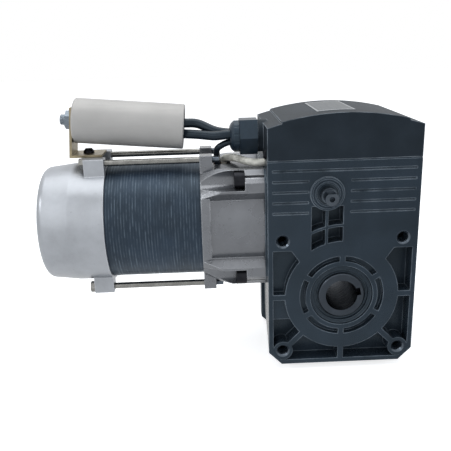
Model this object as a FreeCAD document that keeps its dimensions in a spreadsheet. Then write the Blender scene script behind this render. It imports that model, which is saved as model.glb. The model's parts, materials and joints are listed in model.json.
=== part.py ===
"""Door operator: worm gearbox with a hollow output shaft, flange motor, run capacitor and wiring lid.

Frame: origin on the output shaft's axis in the plane of the front mounting face, X to the right,
Y into the depth of the gearbox, Z up. Millimetres.
"""
import FreeCAD, Part
import math
import operator
import os

import Sketcher
from FreeCAD import Placement, Rotation, Vector

doc = FreeCAD.newDocument("DoorOperator")
sheet = doc.addObject("Spreadsheet::Sheet", "Dims")

# Driving dimensions, in millimetres and degrees
DIMENSIONS = {
    # Gearbox casting
    "half_width": 58.5, "foot_drop": 59.0, "corner_cut": 10.5, "deck_depth": 88.0,
    "housing_depth": 99.0, "side_draft": 3.2, "front_wall": 21.0, "cavity_radius": 46.5,
    "cavity_half_width": 40.0, "rim_wall": 3.8, "pocket_depth": 7.8,
    "deep_pocket": 14.0, "window_depth": 12.0, "lip_half_width": 56.4, "lip_drop": 64.0,
    "lip_depth": 6.0, "lip_cut": 4.5,
    "hub_radius": 45.3, "slot_outer": 33.3, "slot_inner": 28.9, "slot_depth": 5.0, "rib_width": 4.6,
    "mount_pitch": 94.0, "mount_hole_radius": 4.25, "mount_hole_depth": 20.0, "mount_chamfer": 1.1,
    "corner_boss_radius": 8.0, "groove_pitch": 8.25, "groove_width": 1.5,
    "groove_depth": 0.9, "tongue_wall": 4.0, "tongue_height": 8.0,
    # Heights above the fork's hub, above the cavity's roof, above the deck, and below the spindle or deck
    "cavity_top": 0.6,
    "tray_floor": 6.0, "lip_top": 6.0, "deck_top": 15.5,
    "lid_corner": 25.4, "gland_height": 14.5,
    "groove_low": 15.0, "sleeve_hole_height": 4.4,
    # Rear cover
    "cover_thick": 6.0, "cover_rib": 2.5, "cover_screw_radius": 2.5, "cover_screw_head": 3.7,
    "cover_screw_reach": 47.0,
    # Fits
    "seat_gap": 0.02, "run_gap": 0.05, "clear_gap": 0.3, "bolt_gap": 0.3,
    # Output shaft and its bearings
    "bore_radius": 12.7, "key_width": 6.35, "key_top": 15.5, "key_turn": 12.0, "shaft_end_radius": 18.4,
    "shaft_radius": 20.0, "seal_radius": 25.0, "seal_width": 6.5,
    "bearing_radius": 31.0, "bearing_width": 12.0, "bearing_ring": 3.8, "bearing_start": 8.0,
    # Worm gear
    "gear_module": 2.0, "wheel_teeth": 43.0, "worm_pitch_radius": 12.0, "axis_depth": 52.0,
    "wheel_width": 22.0, "wheel_hub_radius": 31.0, "wheel_hub_front": 40.0, "wheel_hub_rear": 66.0,
    "tooth_half": 1.25, "flank_angle": 20.0, "thread_turns": 7.0,
    # Release clutch
    "dog_depth": 5.5, "dog_width": 9.0, "dog_play": 0.6, "dog_inner": 23.3, "dog_outer": 29.5,
    "claw_radius": 32.0, "claw_length": 11.0, "claw_play": 0.5, "claw_travel": 7.0, "fork_groove": 5.0,
    "fork_groove_radius": 28.0, "fork_radius": 37.0, "fork_hub_radius": 9.0, "fork_hub_length": 16.0,
    "spindle_x": 13.0, "spindle_height": 84.4, "spindle_radius": 6.0, "spindle_out": 19.0,
    "spindle_end_radius": 5.0, "spindle_end_length": 11.0, "spindle_flat": 3.9, "spindle_in": 95.0,
    "spindle_boss_radius": 13.0, "spindle_boss_out": 2.0, "cam_pin_radius": 1.3, "cam_floor": 3.8,
    "bush_radius": 8.0,
    # Motor
    "stator_radius": 47.0, "stator_right": 106.3, "stator_length": 81.1, "stator_bore": 27.6,
    "air_gap": 0.4, "winding_length": 18.0, "winding_inner": 30.5, "winding_outer": 42.0,
    "flange_half": 47.0, "flange_corner": 9.0, "flange_thick": 15.0, "flange_face": 60.0,
    "spigot_radius": 35.0, "spigot_length": 9.0, "adapter_wall": 4.5, "adapter_rim": 2.3,
    "adapter_ring": 7.0,
    "tower_half": 11.7, "rim_overlap": 3.0,
    "flange_screw_reach": 39.5, "flange_screw_radius": 4.0, "flange_screw_head": 6.5,
    "flange_screw_length": 16.0, "tie_spread": 19.0, "tie_reach": 52.2, "tie_radius": 2.5,
    "tie_lug": 5.6, "tie_cap": 3.8, "tie_lug_length": 16.0, "tie_lug_back": 13.1,
    "adapter_lug_length": 10.0,
    "tie_tail": 6.0,
    "end_cover_length": 50.1, "end_cover_end_radius": 45.8, "end_cover_round": 6.0, "end_cover_wall": 4.5,
    "motor_shaft_radius": 10.0, "rear_journal": 7.5, "small_bearing_radius": 17.5,
    "small_bearing_width": 11.0, "drive_bearing_radius": 23.5, "drive_bearing_width": 14.0,
    "worm_journal_start": 42.0, "worm_boss_radius": 24.0, "plug_thick": 3.5, "plug_radius": 19.0,
    # Lid and cable entry
    "lid_half_width": 58.4, "lid_gap": 0.8, "lid_rise": 8.8, "lid_step": 1.4,
    "lid_panel_half": 47.5, "lid_wall": 3.5, "gland_depth": 40.0,
    "gland_hex": 13.5, "gland_thread": 9.5, "gland_bore": 8.2, "gland_hex_length": 14.0,
    "gland_boss": 4.5, "gland_boss_radius": 12.8, "gland_dome_length": 7.5,
    "sleeve_hole_depth": 24.5,
    # Capacitor
    "can_radius": 18.0, "can_length": 88.0, "can_left": 208.5, "can_height": 139.3, "can_tilt": 5.2,
    "stud_radius": 4.0, "stud_length": 11.0, "bracket_thick": 2.0, "bracket_width": 24.6,
    "bracket_height": 37.5, "bracket_foot": 24.0, "bracket_pad_radius": 6.5, "bracket_screw_back": 199.5,
}


class Size:
    """A length from the sheet, or one worked out from such lengths, with the formula that binds it."""

    def __init__(self, value, formula, bound=True):
        self.value = float(value)
        self.formula = formula
        self.bound = bound

    def __add__(self, other):
        return combine(self, "+", other)

    def __radd__(self, other):
        return combine(other, "+", self)

    def __sub__(self, other):
        return combine(self, "-", other)

    def __rsub__(self, other):
        return combine(other, "-", self)

    def __mul__(self, other):
        return combine(self, "*", other)

    def __rmul__(self, other):
        return combine(other, "*", self)

    def __truediv__(self, other):
        return combine(self, "/", other)

    def __neg__(self):
        return combine(0.0, "-", self)


OPERATIONS = {"+": operator.add, "-": operator.sub, "*": operator.mul, "/": operator.truediv}


def size_of(number):
    """A plain number as a size that no cell drives."""
    if isinstance(number, Size):
        return number
    return Size(number, f"({float(number)})", bound=False)


def combine(left, sign, right):
    left = size_of(left)
    right = size_of(right)
    value = OPERATIONS[sign](left.value, right.value)
    return Size(value, f"({left.formula} {sign} {right.formula})", left.bound or right.bound)


def function_of(name, function, angle):
    """A sine, cosine or tangent of an angle in degrees."""
    return Size(function(math.radians(angle.value)), f"{name}({angle.formula} * 1 deg)")


def largest(left, right):
    """The larger of two sizes."""
    return Size(max(left.value, right.value), f"max({left.formula}; {right.formula})")


class Sizes:
    """The sheet's cells by name."""


dims = Sizes()
for row, (alias, number) in enumerate(DIMENSIONS.items(), start=1):
    sheet.set(f"A{row}", alias)
    sheet.set(f"B{row}", str(number))
    sheet.setAlias(f"B{row}", alias)
    setattr(dims, alias, Size(number, f"Dims.{alias}"))
doc.recompute()


def bind(item, prop, size):
    """Gives a property its value, and the formula where the sheet drives it."""
    size = size_of(size)
    if size.bound:
        item.setExpression(prop, size.formula)
    else:
        setattr(item, prop, size.value)


ALONG = {
    "X": Rotation(Vector(0, 1, 0), 90),
    "Y": Rotation(Vector(1, 0, 0), -90),
    "Z": Rotation(),
}


def place(item, x, y, z, rotation=Rotation()):
    """Sets a piece's place, bound to the sheet axis by axis."""
    where = [size_of(x), size_of(y), size_of(z)]
    item.Placement = Placement(Vector(*[size.value for size in where]), rotation)
    for axis, size in zip("xyz", where):
        if size.bound:
            item.setExpression(f"Placement.Base.{axis}", size.formula)
    return item


def rod(name, axis, radius, length, x, y, z):
    """A cylinder that starts at a point and runs along an axis."""
    item = doc.addObject("Part::Cylinder", name)
    bind(item, "Radius", radius)
    bind(item, "Height", length)
    return place(item, x, y, z, ALONG[axis])


def taper(name, axis, start_radius, end_radius, length, x, y, z):
    """A cone's frustum that starts at a point and runs along an axis."""
    item = doc.addObject("Part::Cone", name)
    bind(item, "Radius1", start_radius)
    bind(item, "Radius2", end_radius)
    bind(item, "Height", length)
    return place(item, x, y, z, ALONG[axis])


def block(name, x_range, y_range, z_range):
    """A box between two limits on each axis."""
    item = doc.addObject("Part::Box", name)
    for prop, (low, high) in zip(("Length", "Width", "Height"), (x_range, y_range, z_range)):
        bind(item, prop, size_of(high) - low)
    return place(item, x_range[0], y_range[0], z_range[0])


def hexagon(name, axis, across_half, length, x, y, z):
    """A hexagonal prism given by half its width across the flats; along X its flats lie up and down."""
    item = doc.addObject("Part::Prism", name)
    item.Polygon = 6
    bind(item, "Circumradius", size_of(across_half) / math.cos(math.radians(30)))
    bind(item, "Height", length)
    return place(item, x, y, z, ALONG[axis].multiply(Rotation(Vector(0, 0, 1), 90)))


def join(name, *shapes):
    item = doc.addObject("Part::MultiFuse", name)
    item.Shapes = list(shapes)
    return item


def cut(name, base, *tools):
    item = doc.addObject("Part::Cut", name)
    item.Base = base
    item.Tool = tools[0] if len(tools) == 1 else join(name + "_tools", *tools)
    return item


def common(name, first, second):
    item = doc.addObject("Part::MultiCommon", name)
    item.Shapes = [first, second]
    return item


def group(name, *solids):
    """Like pieces that share a node and stay separate solids."""
    item = doc.addObject("Part::Compound", name)
    item.Links = list(solids)
    return item


def ring(name, axis, outer, inner, length, x, y, z):
    return cut(name, rod(name + "_outer", axis, outer, length, x, y, z),
               rod(name + "_inner", axis, inner, length, x, y, z))


def turned(name, axis, angle, item, x=0.0, y=0.0, z=0.0):
    """A piece made about the origin, turned about an axis there and then moved."""
    holder = place(group(name, item), x, y, z, Rotation(axis, size_of(angle).value))
    if size_of(angle).bound:
        bind(holder, "Placement.Rotation.Angle", angle)
    return holder


def origin_plane(body, role):
    return next(plane for plane in body.Origin.OriginFeatures if plane.Role == role)


def fix_point(sketch, names, index, x, y):
    """Ties the start of an edge to its two coordinates."""
    for kind, size, axis in (("DistanceX", size_of(x), -2), ("DistanceY", size_of(y), -1)):
        if not size.bound and size.value == 0.0:
            sketch.addConstraint(Sketcher.Constraint("PointOnObject", index, 1, axis))
            continue
        number = sketch.addConstraint(Sketcher.Constraint(kind, -1, 1, index, 1, size.value))
        names.append((number, size))


def bind_constraints(sketch, names):
    for number, size in names:
        if size.bound:
            sketch.renameConstraint(number, f"size_{number}")
            sketch.setExpression(f"Constraints.size_{number}", size.formula)


def polygon_sketch(body, name, role, points):
    """A closed outline of straight edges on one of the body's origin planes."""
    sketch = body.newObject("Sketcher::SketchObject", name)
    sketch.AttachmentSupport = [(origin_plane(body, role), "")]
    sketch.MapMode = "FlatFace"
    values = [Vector(size_of(x).value, size_of(y).value, 0) for x, y in points]
    count = len(points)
    for index in range(count):
        sketch.addGeometry(Part.LineSegment(values[index], values[(index + 1) % count]), False)
    for index in range(count):
        sketch.addConstraint(Sketcher.Constraint("Coincident", index, 2, (index + 1) % count, 1))
    names = []
    for index, (x, y) in enumerate(points):
        fix_point(sketch, names, index, x, y)
    bind_constraints(sketch, names)
    return sketch


def arch_sketch(body, name, half, low, corner, rise):
    """A front outline with upright sides and one shallow arc across the top."""
    half, low, corner, rise = size_of(half), size_of(low), size_of(corner), size_of(rise)
    sketch = body.newObject("Sketcher::SketchObject", name)
    sketch.AttachmentSupport = [(origin_plane(body, "XZ_Plane"), "")]
    sketch.MapMode = "FlatFace"
    radius = (half * half + rise * rise) / (2 * rise)
    corners = [(-half, low), (half, low), (half, corner), (-half, corner)]
    values = [Vector(x.value, y.value, 0) for x, y in corners]
    crown = Vector(0, corner.value + rise.value, 0)
    sides = []
    for start, end in ((0, 1), (1, 2), (3, 0)):
        sides.append(sketch.addGeometry(Part.LineSegment(values[start], values[end]), False))
    base, right, left = sides
    arc = sketch.addGeometry(Part.Arc(values[2], crown, values[3]), False)
    for first, second in (((base, 2), (right, 1)), ((right, 2), (arc, 1)), ((arc, 2), (left, 1)),
                          ((left, 2), (base, 1))):
        sketch.addConstraint(Sketcher.Constraint("Coincident", *first, *second))
    names = []
    fix_point(sketch, names, base, *corners[0])
    fix_point(sketch, names, right, *corners[1])
    fix_point(sketch, names, left, *corners[3])
    sketch.addConstraint(Sketcher.Constraint("PointOnObject", arc, 3, -2))
    number = sketch.addConstraint(Sketcher.Constraint("Radius", arc, radius.value))
    names.append((number, radius))
    bind_constraints(sketch, names)
    return sketch


def padded(name, role, points, length, x=0.0, y=0.0, z=0.0, draft=None):
    """An outline pushed along +X, +Y or +Z from an origin plane, with an optional inward draft."""
    body = doc.addObject("PartDesign::Body", name)
    return pad_sketch(body, polygon_sketch(body, name + "_outline", role, points), role, length, x, y, z,
                      draft)


def pad_sketch(body, sketch, role, length, x=0.0, y=0.0, z=0.0, draft=None):
    pad = body.newObject("PartDesign::Pad", body.Name + "_pad")
    pad.Profile = sketch
    bind(pad, "Length", length)
    pad.Reversed = role == "XZ_Plane"
    if draft is not None:
        bind(pad, "TaperAngle", -draft)
    body.Tip = pad
    return place(body, x, y, z)


def revolved(name, axis, points, x=0.0, y=0.0, z=0.0):
    """A profile of radius and height turned about the height axis, which then lies along X, Y or Z."""
    body = doc.addObject("PartDesign::Body", name)
    sketch = polygon_sketch(body, name + "_profile", "XZ_Plane", points)
    turn = body.newObject("PartDesign::Revolution", name + "_turn")
    turn.Profile = sketch
    turn.ReferenceAxis = (sketch, ["V_Axis"])
    turn.Angle = 360
    body.Tip = turn
    return place(body, x, y, z, ALONG[axis])


def round_edges(body, radius, chosen):
    """Rounds the edges of the body's last feature that a test picks out."""
    doc.recompute()
    base = body.Tip
    names = [f"Edge{number}" for number, edge in enumerate(base.Shape.Edges, start=1) if chosen(edge)]
    fillet = body.newObject("PartDesign::Fillet", body.Name + "_round")
    fillet.Base = (base, names)
    bind(fillet, "Radius", radius)
    body.Tip = fillet
    return body


# Places that several pieces share
centre_distance = dims.gear_module * dims.wheel_teeth / 2 + dims.worm_pitch_radius
thread_pitch = math.pi * dims.gear_module
half_pitch = dims.mount_pitch / 2
rear_face = dims.housing_depth + dims.cover_thick
rear_bearing = rear_face - dims.bearing_start - dims.bearing_width
stator_left = dims.stator_right + dims.stator_length
motor_axis = {"y": dims.axis_depth, "z": centre_distance}
flange_back = dims.flange_face + dims.flange_thick
tie_places = [(dims.axis_depth + side * dims.tie_spread, centre_distance + end * dims.tie_reach, end)
              for side in (-1, 1) for end in (-1, 1)]
flange_rear = dims.housing_depth - dims.axis_depth
flange_inset = dims.flange_half - dims.flange_screw_reach
flange_screw_places = [(depth, centre_distance + end * dims.flange_screw_reach)
                       for depth in (dims.axis_depth - dims.flange_screw_reach,
                                     dims.housing_depth - flange_inset) for end in (-1, 1)]
cavity_top = dims.spindle_height + dims.fork_hub_radius + dims.cavity_top
deck_top = largest(cavity_top + dims.deck_top, centre_distance + dims.flange_half + flange_inset)
tray_floor = deck_top - dims.deck_top + dims.tray_floor
lip_top = deck_top - dims.deck_top + dims.lip_top
lid_corner = deck_top + dims.lid_corner
gland_z = deck_top + dims.gland_height
sleeve_z = deck_top - dims.sleeve_hole_height
groove_low = dims.spindle_height - dims.groove_low
cover_screw_places = [(side * dims.cover_screw_reach, height) for side in (-1, 1)
                      for height in (-24.0, 24.0, centre_distance + 31.0)]
cover_screw_places += [(side * 22.0, -dims.cover_screw_reach) for side in (-1, 1)]
mount_places = [(side * half_pitch, end * half_pitch) for side in (-1, 1) for end in (-1, 1)]
spindle_place = (-dims.spindle_x, dims.spindle_height)


def casting_outline(half, drop, top, corner):
    """The gearbox outline seen from the front: a tall rectangle with its two lower corners cut off."""
    return [(-half + corner, -drop), (half - corner, -drop), (half, -drop + corner), (half, top),
            (-half, top), (-half, -drop + corner)]


def flange_outline():
    """The motor flange with cut corners, in Y and Z about the motor's axis, flush with the rear face."""
    half = dims.flange_half
    inner = half - dims.flange_corner
    rear = flange_rear
    rear_inner = rear - dims.flange_corner
    corners = [(-inner, -half), (rear_inner, -half), (rear, -inner), (rear, inner),
               (rear_inner, half), (-inner, half), (-half, inner), (-half, -inner)]
    return [(dims.axis_depth + y, centre_distance + z) for y, z in corners]


# Gear housing: front pockets with the ribs and bosses that stand in them
def front_pockets():
    """The recesses between the hub disc, the rim and the corner bosses, deep on the right and below."""
    inner = dims.half_width - dims.rim_wall
    floor = -dims.foot_drop + dims.rim_wall
    ceiling = half_pitch - dims.corner_boss_radius
    shallow_low = -dims.hub_radius * 0.45
    field = join("pocket_field",
                 block("left_field", (-inner, 0), (-1.0, dims.pocket_depth), (0, ceiling)),
                 block("left_step", (-inner, 0), (-1.0, dims.pocket_depth / 2), (shallow_low - 1, 1)),
                 block("right_field", (-1, inner), (-1.0, dims.deep_pocket), (floor, ceiling)),
                 block("low_field", (-inner, 0), (-1.0, dims.deep_pocket), (floor, shallow_low)))
    start = -1.5
    height = dims.deep_pocket + 2
    tall = (start, start + height)
    stands = [rod("hub_disc", "Y", dims.hub_radius, height, 0, start, 0)]
    for x, z in mount_places:
        stands.append(rod("corner_boss", "Y", dims.corner_boss_radius, height, x, start, z))
    half_rib = dims.rib_width / 2
    stands.append(block("side_rib", (-inner - 1, inner + 1), tall, (-half_rib, half_rib)))
    stands.append(block("foot_rib", (-half_rib, half_rib), tall, (floor - 1, 0)))
    for side in (-1, 1):
        slant = block("corner_rib_bar", (-half_rib, half_rib), tall, (-dims.foot_drop * 1.25, 0))
        stands.append(turned("corner_rib", Vector(0, 1, 0), side * 45, slant))
        edge = dims.corner_cut + dims.rim_wall
        web = [(side * (dims.half_width + 1), -dims.foot_drop - 1),
               (side * (dims.half_width - edge), -dims.foot_drop - 1),
               (side * (dims.half_width + 1), -dims.foot_drop + edge + 1)]
        stands.append(padded("corner_web", "XZ_Plane", web, height, 0, start, 0))
        shelf_in = half_pitch - dims.corner_boss_radius + 2
        shelf = [(side * shelf_in, ceiling + 1), (side * (shelf_in - 24), ceiling + 1),
                 (side * (shelf_in - 24), ceiling - 10), (side * (shelf_in - 7), ceiling - 9)]
        stands.append(padded("shelf", "XZ_Plane", shelf, height, 0, start, 0))
    return cut("front_pockets", field, *stands)


def hub_slots():
    """The slotted ring round the shaft, broken by six radial ribs."""
    ring_slot = ring("slot_ring", "Y", dims.slot_outer, dims.slot_inner, dims.slot_depth + 1, 0, -1, 0)
    ribs = []
    for turn in (0, 60, 120):
        rib = block("slot_rib_bar", (-dims.slot_outer - 1, dims.slot_outer + 1), (-2, dims.slot_depth + 1),
                    (-dims.rib_width / 2, dims.rib_width / 2))
        ribs.append(turned("slot_rib", Vector(0, 1, 0), turn + 30, rib))
    return cut("hub_slots", ring_slot, *ribs)


def face_grooves():
    """Level decorative grooves; the upper one runs right across, the rest stop at the spindle boss."""
    tools = []
    ends = dims.half_width - dims.rim_wall
    for step in range(5):
        low = groove_low + step * dims.groove_pitch - dims.groove_width / 2
        high = low + dims.groove_width
        depth = (-1.0, dims.groove_depth)
        if step == 4:
            tools.append(block("groove", (-ends, ends), depth, (low, high)))
            continue
        gap = dims.spindle_boss_radius + 1.2
        tools.append(block("groove", (-ends, -dims.spindle_x - gap), depth, (low, high)))
        tools.append(block("groove", (-dims.spindle_x + gap + 4, ends), depth, (low, high)))
    return join("face_grooves", *tools)


def boss_windows():
    """Two by two recesses between the spindle boss and the hub disc, with a cross of thin bars."""
    bar = 2.2
    left = -dims.spindle_x - dims.spindle_boss_radius + 1.2
    right = -dims.spindle_x + dims.spindle_boss_radius - 0.4
    field = block("window_field", (left, right), (-1, dims.window_depth), (30.0, dims.spindle_height - 10))
    depth = dims.window_depth + 2
    disc = rod("window_foot", "Y", dims.hub_radius + 0.7, depth, 0, -1.5, 0)
    outer = rod("window_bar_outer", "Y", dims.hub_radius + 14.5, depth, 0, -1.5, 0)
    inner = rod("window_bar_inner", "Y", dims.hub_radius + 14.5 - bar, depth, 0, -1.5, 0)
    level_bar = cut("window_level_bar", outer, inner)
    upright = block("window_upright", (-dims.spindle_x - bar / 2, -dims.spindle_x + bar / 2),
                    (-1.5, dims.window_depth + 0.5), (20.0, dims.spindle_height))
    boss = rod("window_boss", "Y", dims.spindle_boss_radius, depth, spindle_place[0], -1.5,
               spindle_place[1])
    return cut("boss_windows", field, disc, level_bar, upright, boss)


def housing_body():
    """The casting's outside before anything is cut from it."""
    shell = padded("housing_shell", "XZ_Plane",
                   casting_outline(dims.half_width, dims.foot_drop, deck_top, dims.corner_cut),
                   dims.housing_depth, draft=dims.side_draft)
    deck = block("deck", (-dims.half_width, dims.half_width), (0, dims.deck_depth),
                 (cavity_top, deck_top))
    motor_pad = padded("motor_pad", "YZ_Plane", flange_outline(), dims.flange_face - dims.cavity_half_width,
                       x=-dims.flange_face)
    lip = padded("rear_lip", "XZ_Plane",
                 casting_outline(dims.lip_half_width, dims.lip_drop, lip_top, dims.lip_cut),
                 dims.lip_depth, y=dims.housing_depth - dims.lip_depth)
    worm_boss = rod("worm_boss", "X", dims.worm_boss_radius, dims.half_width - dims.cavity_half_width,
                    dims.cavity_half_width, motor_axis["y"], motor_axis["z"])
    spindle_boss = rod("spindle_boss", "Y", dims.spindle_boss_radius, dims.spindle_boss_out + 5,
                       spindle_place[0], -dims.spindle_boss_out, spindle_place[1])
    inner = dims.lid_half_width - dims.lid_wall - dims.clear_gap
    front = dims.lid_wall + dims.clear_gap
    back = dims.deck_depth - front
    tongue_top = deck_top + dims.tongue_height
    tongue = block("tongue", (-inner, inner), (front, back), (deck_top - 1, tongue_top))
    return join("housing_body", shell, deck, motor_pad, lip, worm_boss, spindle_boss, tongue)


def housing_inside():
    """Gear chamber, bearing and seal seats, wiring tray and every hole."""
    chamber_length = dims.housing_depth - dims.front_wall + 1
    tools = [
        rod("gear_chamber", "Y", dims.cavity_radius, chamber_length, 0, dims.front_wall, 0),
        block("worm_chamber", (-dims.cavity_half_width, dims.cavity_half_width),
              (dims.front_wall, dims.housing_depth + 1), (0, cavity_top)),
        rod("front_bearing_seat", "Y", dims.bearing_radius, dims.front_wall, 0, dims.bearing_start, 0),
        rod("front_seal_seat", "Y", dims.seal_radius, dims.front_wall, 0, -1, 0),
        rod("spigot_seat", "X", dims.spigot_radius + dims.run_gap,
            dims.flange_face - dims.cavity_half_width + 2,
            -dims.flange_face - 1, motor_axis["y"], motor_axis["z"]),
        rod("worm_end_seat", "X", dims.small_bearing_radius, 40.0,
            dims.cavity_half_width - 1, motor_axis["y"], motor_axis["z"]),
        rod("plug_seat", "X", dims.plug_radius, 20.0, dims.half_width - dims.plug_thick,
            motor_axis["y"], motor_axis["z"]),
        rod("bush_seat", "Y", dims.bush_radius, dims.front_wall + 10, spindle_place[0],
            -dims.spindle_boss_out - 1, spindle_place[1]),
    ]
    inner = dims.lid_half_width - dims.lid_wall - dims.clear_gap - dims.tongue_wall
    front = dims.lid_wall + dims.clear_gap + dims.tongue_wall
    back = dims.deck_depth - front
    tools.append(block("wiring_tray", (-inner, inner), (front, back),
                       (tray_floor, deck_top + 30)))
    tools.append(rod("sleeve_hole", "X", 3.7, 9.0, -dims.half_width - 1, dims.sleeve_hole_depth,
                     sleeve_z))
    notch = dims.gland_hex + 6
    tools.append(block("gland_notch", (-dims.lid_half_width, -inner + 1),
                       (dims.gland_depth - notch, dims.gland_depth + notch),
                       (deck_top, deck_top + 30)))
    for x, z in mount_places:
        tools.append(rod("mount_hole", "Y", dims.mount_hole_radius, dims.mount_hole_depth + 1, x, -1, z))
        tools.append(taper("mount_chamfer", "Y", dims.mount_hole_radius + dims.mount_chamfer + 0.1,
                           dims.mount_hole_radius, dims.mount_chamfer + 0.1, x, -0.1, z))
    for y, z in flange_screw_places:
        tools.append(rod("flange_tap", "X", dims.flange_screw_radius + dims.run_gap,
                         dims.flange_screw_length + 2, -dims.flange_face - 1, y, z))
    for x, z in cover_screw_places:
        tools.append(rod("cover_tap", "Y", dims.cover_screw_radius + dims.run_gap, 22.0, x,
                         dims.housing_depth - 20, z))
    for x, y in lid_screw_places():
        tools.append(rod("lid_tap", "X", 2.0 + dims.run_gap, 8.0, x, y, lid_screw_height))
    return tools


lid_screw_height = deck_top + dims.tongue_height / 2
lid_screw_length = dims.lid_wall + dims.clear_gap + dims.tongue_wall


def lid_screw_places():
    """Left ends of the lid screws' shanks, two on each side of the lid."""
    depths = (12.0, dims.deck_depth - 12.0)
    left = -dims.lid_half_width
    right = dims.lid_half_width - lid_screw_length
    return [(x, y) for x in (left, right) for y in depths]


cut("gear_housing", housing_body(), front_pockets(), hub_slots(), face_grooves(), boss_windows(),
    *housing_inside())

# Rear cover with the rear bearing seat, stiffening ribs and the blind seat of the release spindle
cover_plate = padded("cover_plate", "XZ_Plane",
                     casting_outline(dims.lip_half_width, dims.lip_drop, lip_top, dims.lip_cut),
                     dims.cover_thick, y=dims.housing_depth)
cover_boss = rod("cover_boss", "Y", dims.bearing_radius + 5, dims.housing_depth - rear_bearing + 1, 0,
                 rear_bearing - 1, 0)
spindle_seat_start = dims.spindle_in - 9
cover_spindle_boss = rod("cover_spindle_boss", "Y", dims.bush_radius + 1,
                         dims.housing_depth - spindle_seat_start + 1, spindle_place[0], spindle_seat_start,
                         spindle_place[1])
cover_hub = rod("cover_hub", "Y", dims.slot_outer, dims.cover_rib + 1, 0, rear_face - 1, 0)
cover_ribs = []
for turn in (45, 90, 135, 225, 270, 315):
    rib = block("cover_rib_bar", (dims.slot_outer - 2, dims.lip_half_width - 8),
                (rear_face - 1, rear_face + dims.cover_rib), (-2.0, 2.0))
    cover_ribs.append(turned("cover_rib", Vector(0, 1, 0), turn, rib))
cover_holes = [rod("cover_hole", "Y", dims.cover_screw_radius + dims.bolt_gap, dims.cover_thick + 2, x,
                   dims.housing_depth - 1, z) for x, z in cover_screw_places]
cut("rear_cover", join("cover_body", cover_plate, cover_boss, cover_spindle_boss, cover_hub, *cover_ribs),
    rod("rear_bearing_seat", "Y", dims.bearing_radius, dims.bearing_width + 2, 0, rear_bearing - 2, 0),
    rod("rear_seal_seat", "Y", dims.seal_radius, 30.0, 0, rear_bearing, 0),
    rod("spindle_rear_seat", "Y", dims.spindle_radius + dims.run_gap, 11.0, spindle_place[0],
        spindle_seat_start - 1, spindle_place[1]),
    *cover_holes)


def button_screw(name, axis, radius, head_radius, head_height, length, x, y, z, sense):
    """A screw with a domed head; sense is +1 when the shank runs along the axis from the seat."""
    points = [(0, -head_height), (size_of(head_radius) * 0.6, -head_height),
              (head_radius, -head_height * 0.4),
              (head_radius, 0), (radius, 0), (radius, length), (0, length)]
    points = [(r, sense * size_of(height)) for r, height in points]
    if sense < 0:
        points = points[::-1]
    return revolved(name, axis, points, x, y, z)


group("rear_cover_screws", *[
    button_screw("rear_cover_screw", "Y", dims.cover_screw_radius, dims.cover_screw_head, 2.8, 22.0, x,
                 rear_face, z, -1) for x, z in cover_screw_places])

# Lid: an arched cap with a raised middle panel, open below
lid_low = deck_top + dims.lid_gap


def arch(name, half, low, corner, rise, start, length):
    body = doc.addObject("PartDesign::Body", name)
    sketch = arch_sketch(body, name + "_outline", half, low, corner, rise)
    return pad_sketch(body, sketch, "XZ_Plane", length, y=start)


lid_band = arch("lid_band", dims.lid_half_width, lid_low, lid_corner, dims.lid_rise, 0.0,
                dims.deck_depth)
panel_share = dims.lid_panel_half / dims.lid_half_width
panel_rise = dims.lid_rise * panel_share * panel_share
panel_corner = lid_corner + dims.lid_rise - panel_rise + dims.lid_step
lid_panel = arch("lid_panel", dims.lid_panel_half, lid_corner - 5, panel_corner, panel_rise, 0.0,
                 dims.deck_depth)
lid_hollow = arch("lid_hollow", dims.lid_half_width - dims.lid_wall, lid_low - 1,
                  lid_corner - dims.lid_wall,
                  dims.lid_rise, dims.lid_wall, dims.deck_depth - 2 * dims.lid_wall)
gland_boss = rod("gland_boss", "X", dims.gland_boss_radius, dims.gland_boss + dims.lid_wall,
                 -dims.lid_half_width - dims.gland_boss, dims.gland_depth, gland_z)
gland_hole = rod("gland_hole", "X", dims.gland_thread + dims.run_gap, dims.gland_boss + dims.lid_wall + 2,
                 -dims.lid_half_width - dims.gland_boss - 1, dims.gland_depth, gland_z)
lid_holes = []
for x, y in lid_screw_places():
    start = -dims.lid_half_width - 1 if x.value < 0 else dims.lid_half_width - dims.lid_wall - 1
    lid_holes.append(rod("lid_hole", "X", 2.0 + dims.bolt_gap, dims.lid_wall + 2, start, y,
                         lid_screw_height))
cut("lid", join("lid_outside", lid_band, lid_panel, gland_boss), lid_hollow, gland_hole, *lid_holes)

gasket_out = dims.lid_half_width - dims.clear_gap
gasket_in = dims.lid_half_width - dims.lid_wall - dims.clear_gap + 0.1
cut("lid_gasket",
    block("gasket_outer", (-gasket_out, gasket_out), (0, dims.deck_depth), (deck_top, lid_low)),
    block("gasket_inner", (-gasket_in, gasket_in), (dims.lid_wall, dims.deck_depth - dims.lid_wall),
          (deck_top - 1, lid_low + 1)))

lid_screws = []
for x, y in lid_screw_places():
    sense = 1 if x.value < 0 else -1
    seat = x if sense > 0 else dims.lid_half_width
    lid_screws.append(button_screw("lid_screw", "X", 2.0, 3.6, 2.2, lid_screw_length - 0.5, seat, y,
                                   lid_screw_height, sense))
group("lid_screws", *lid_screws)

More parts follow.
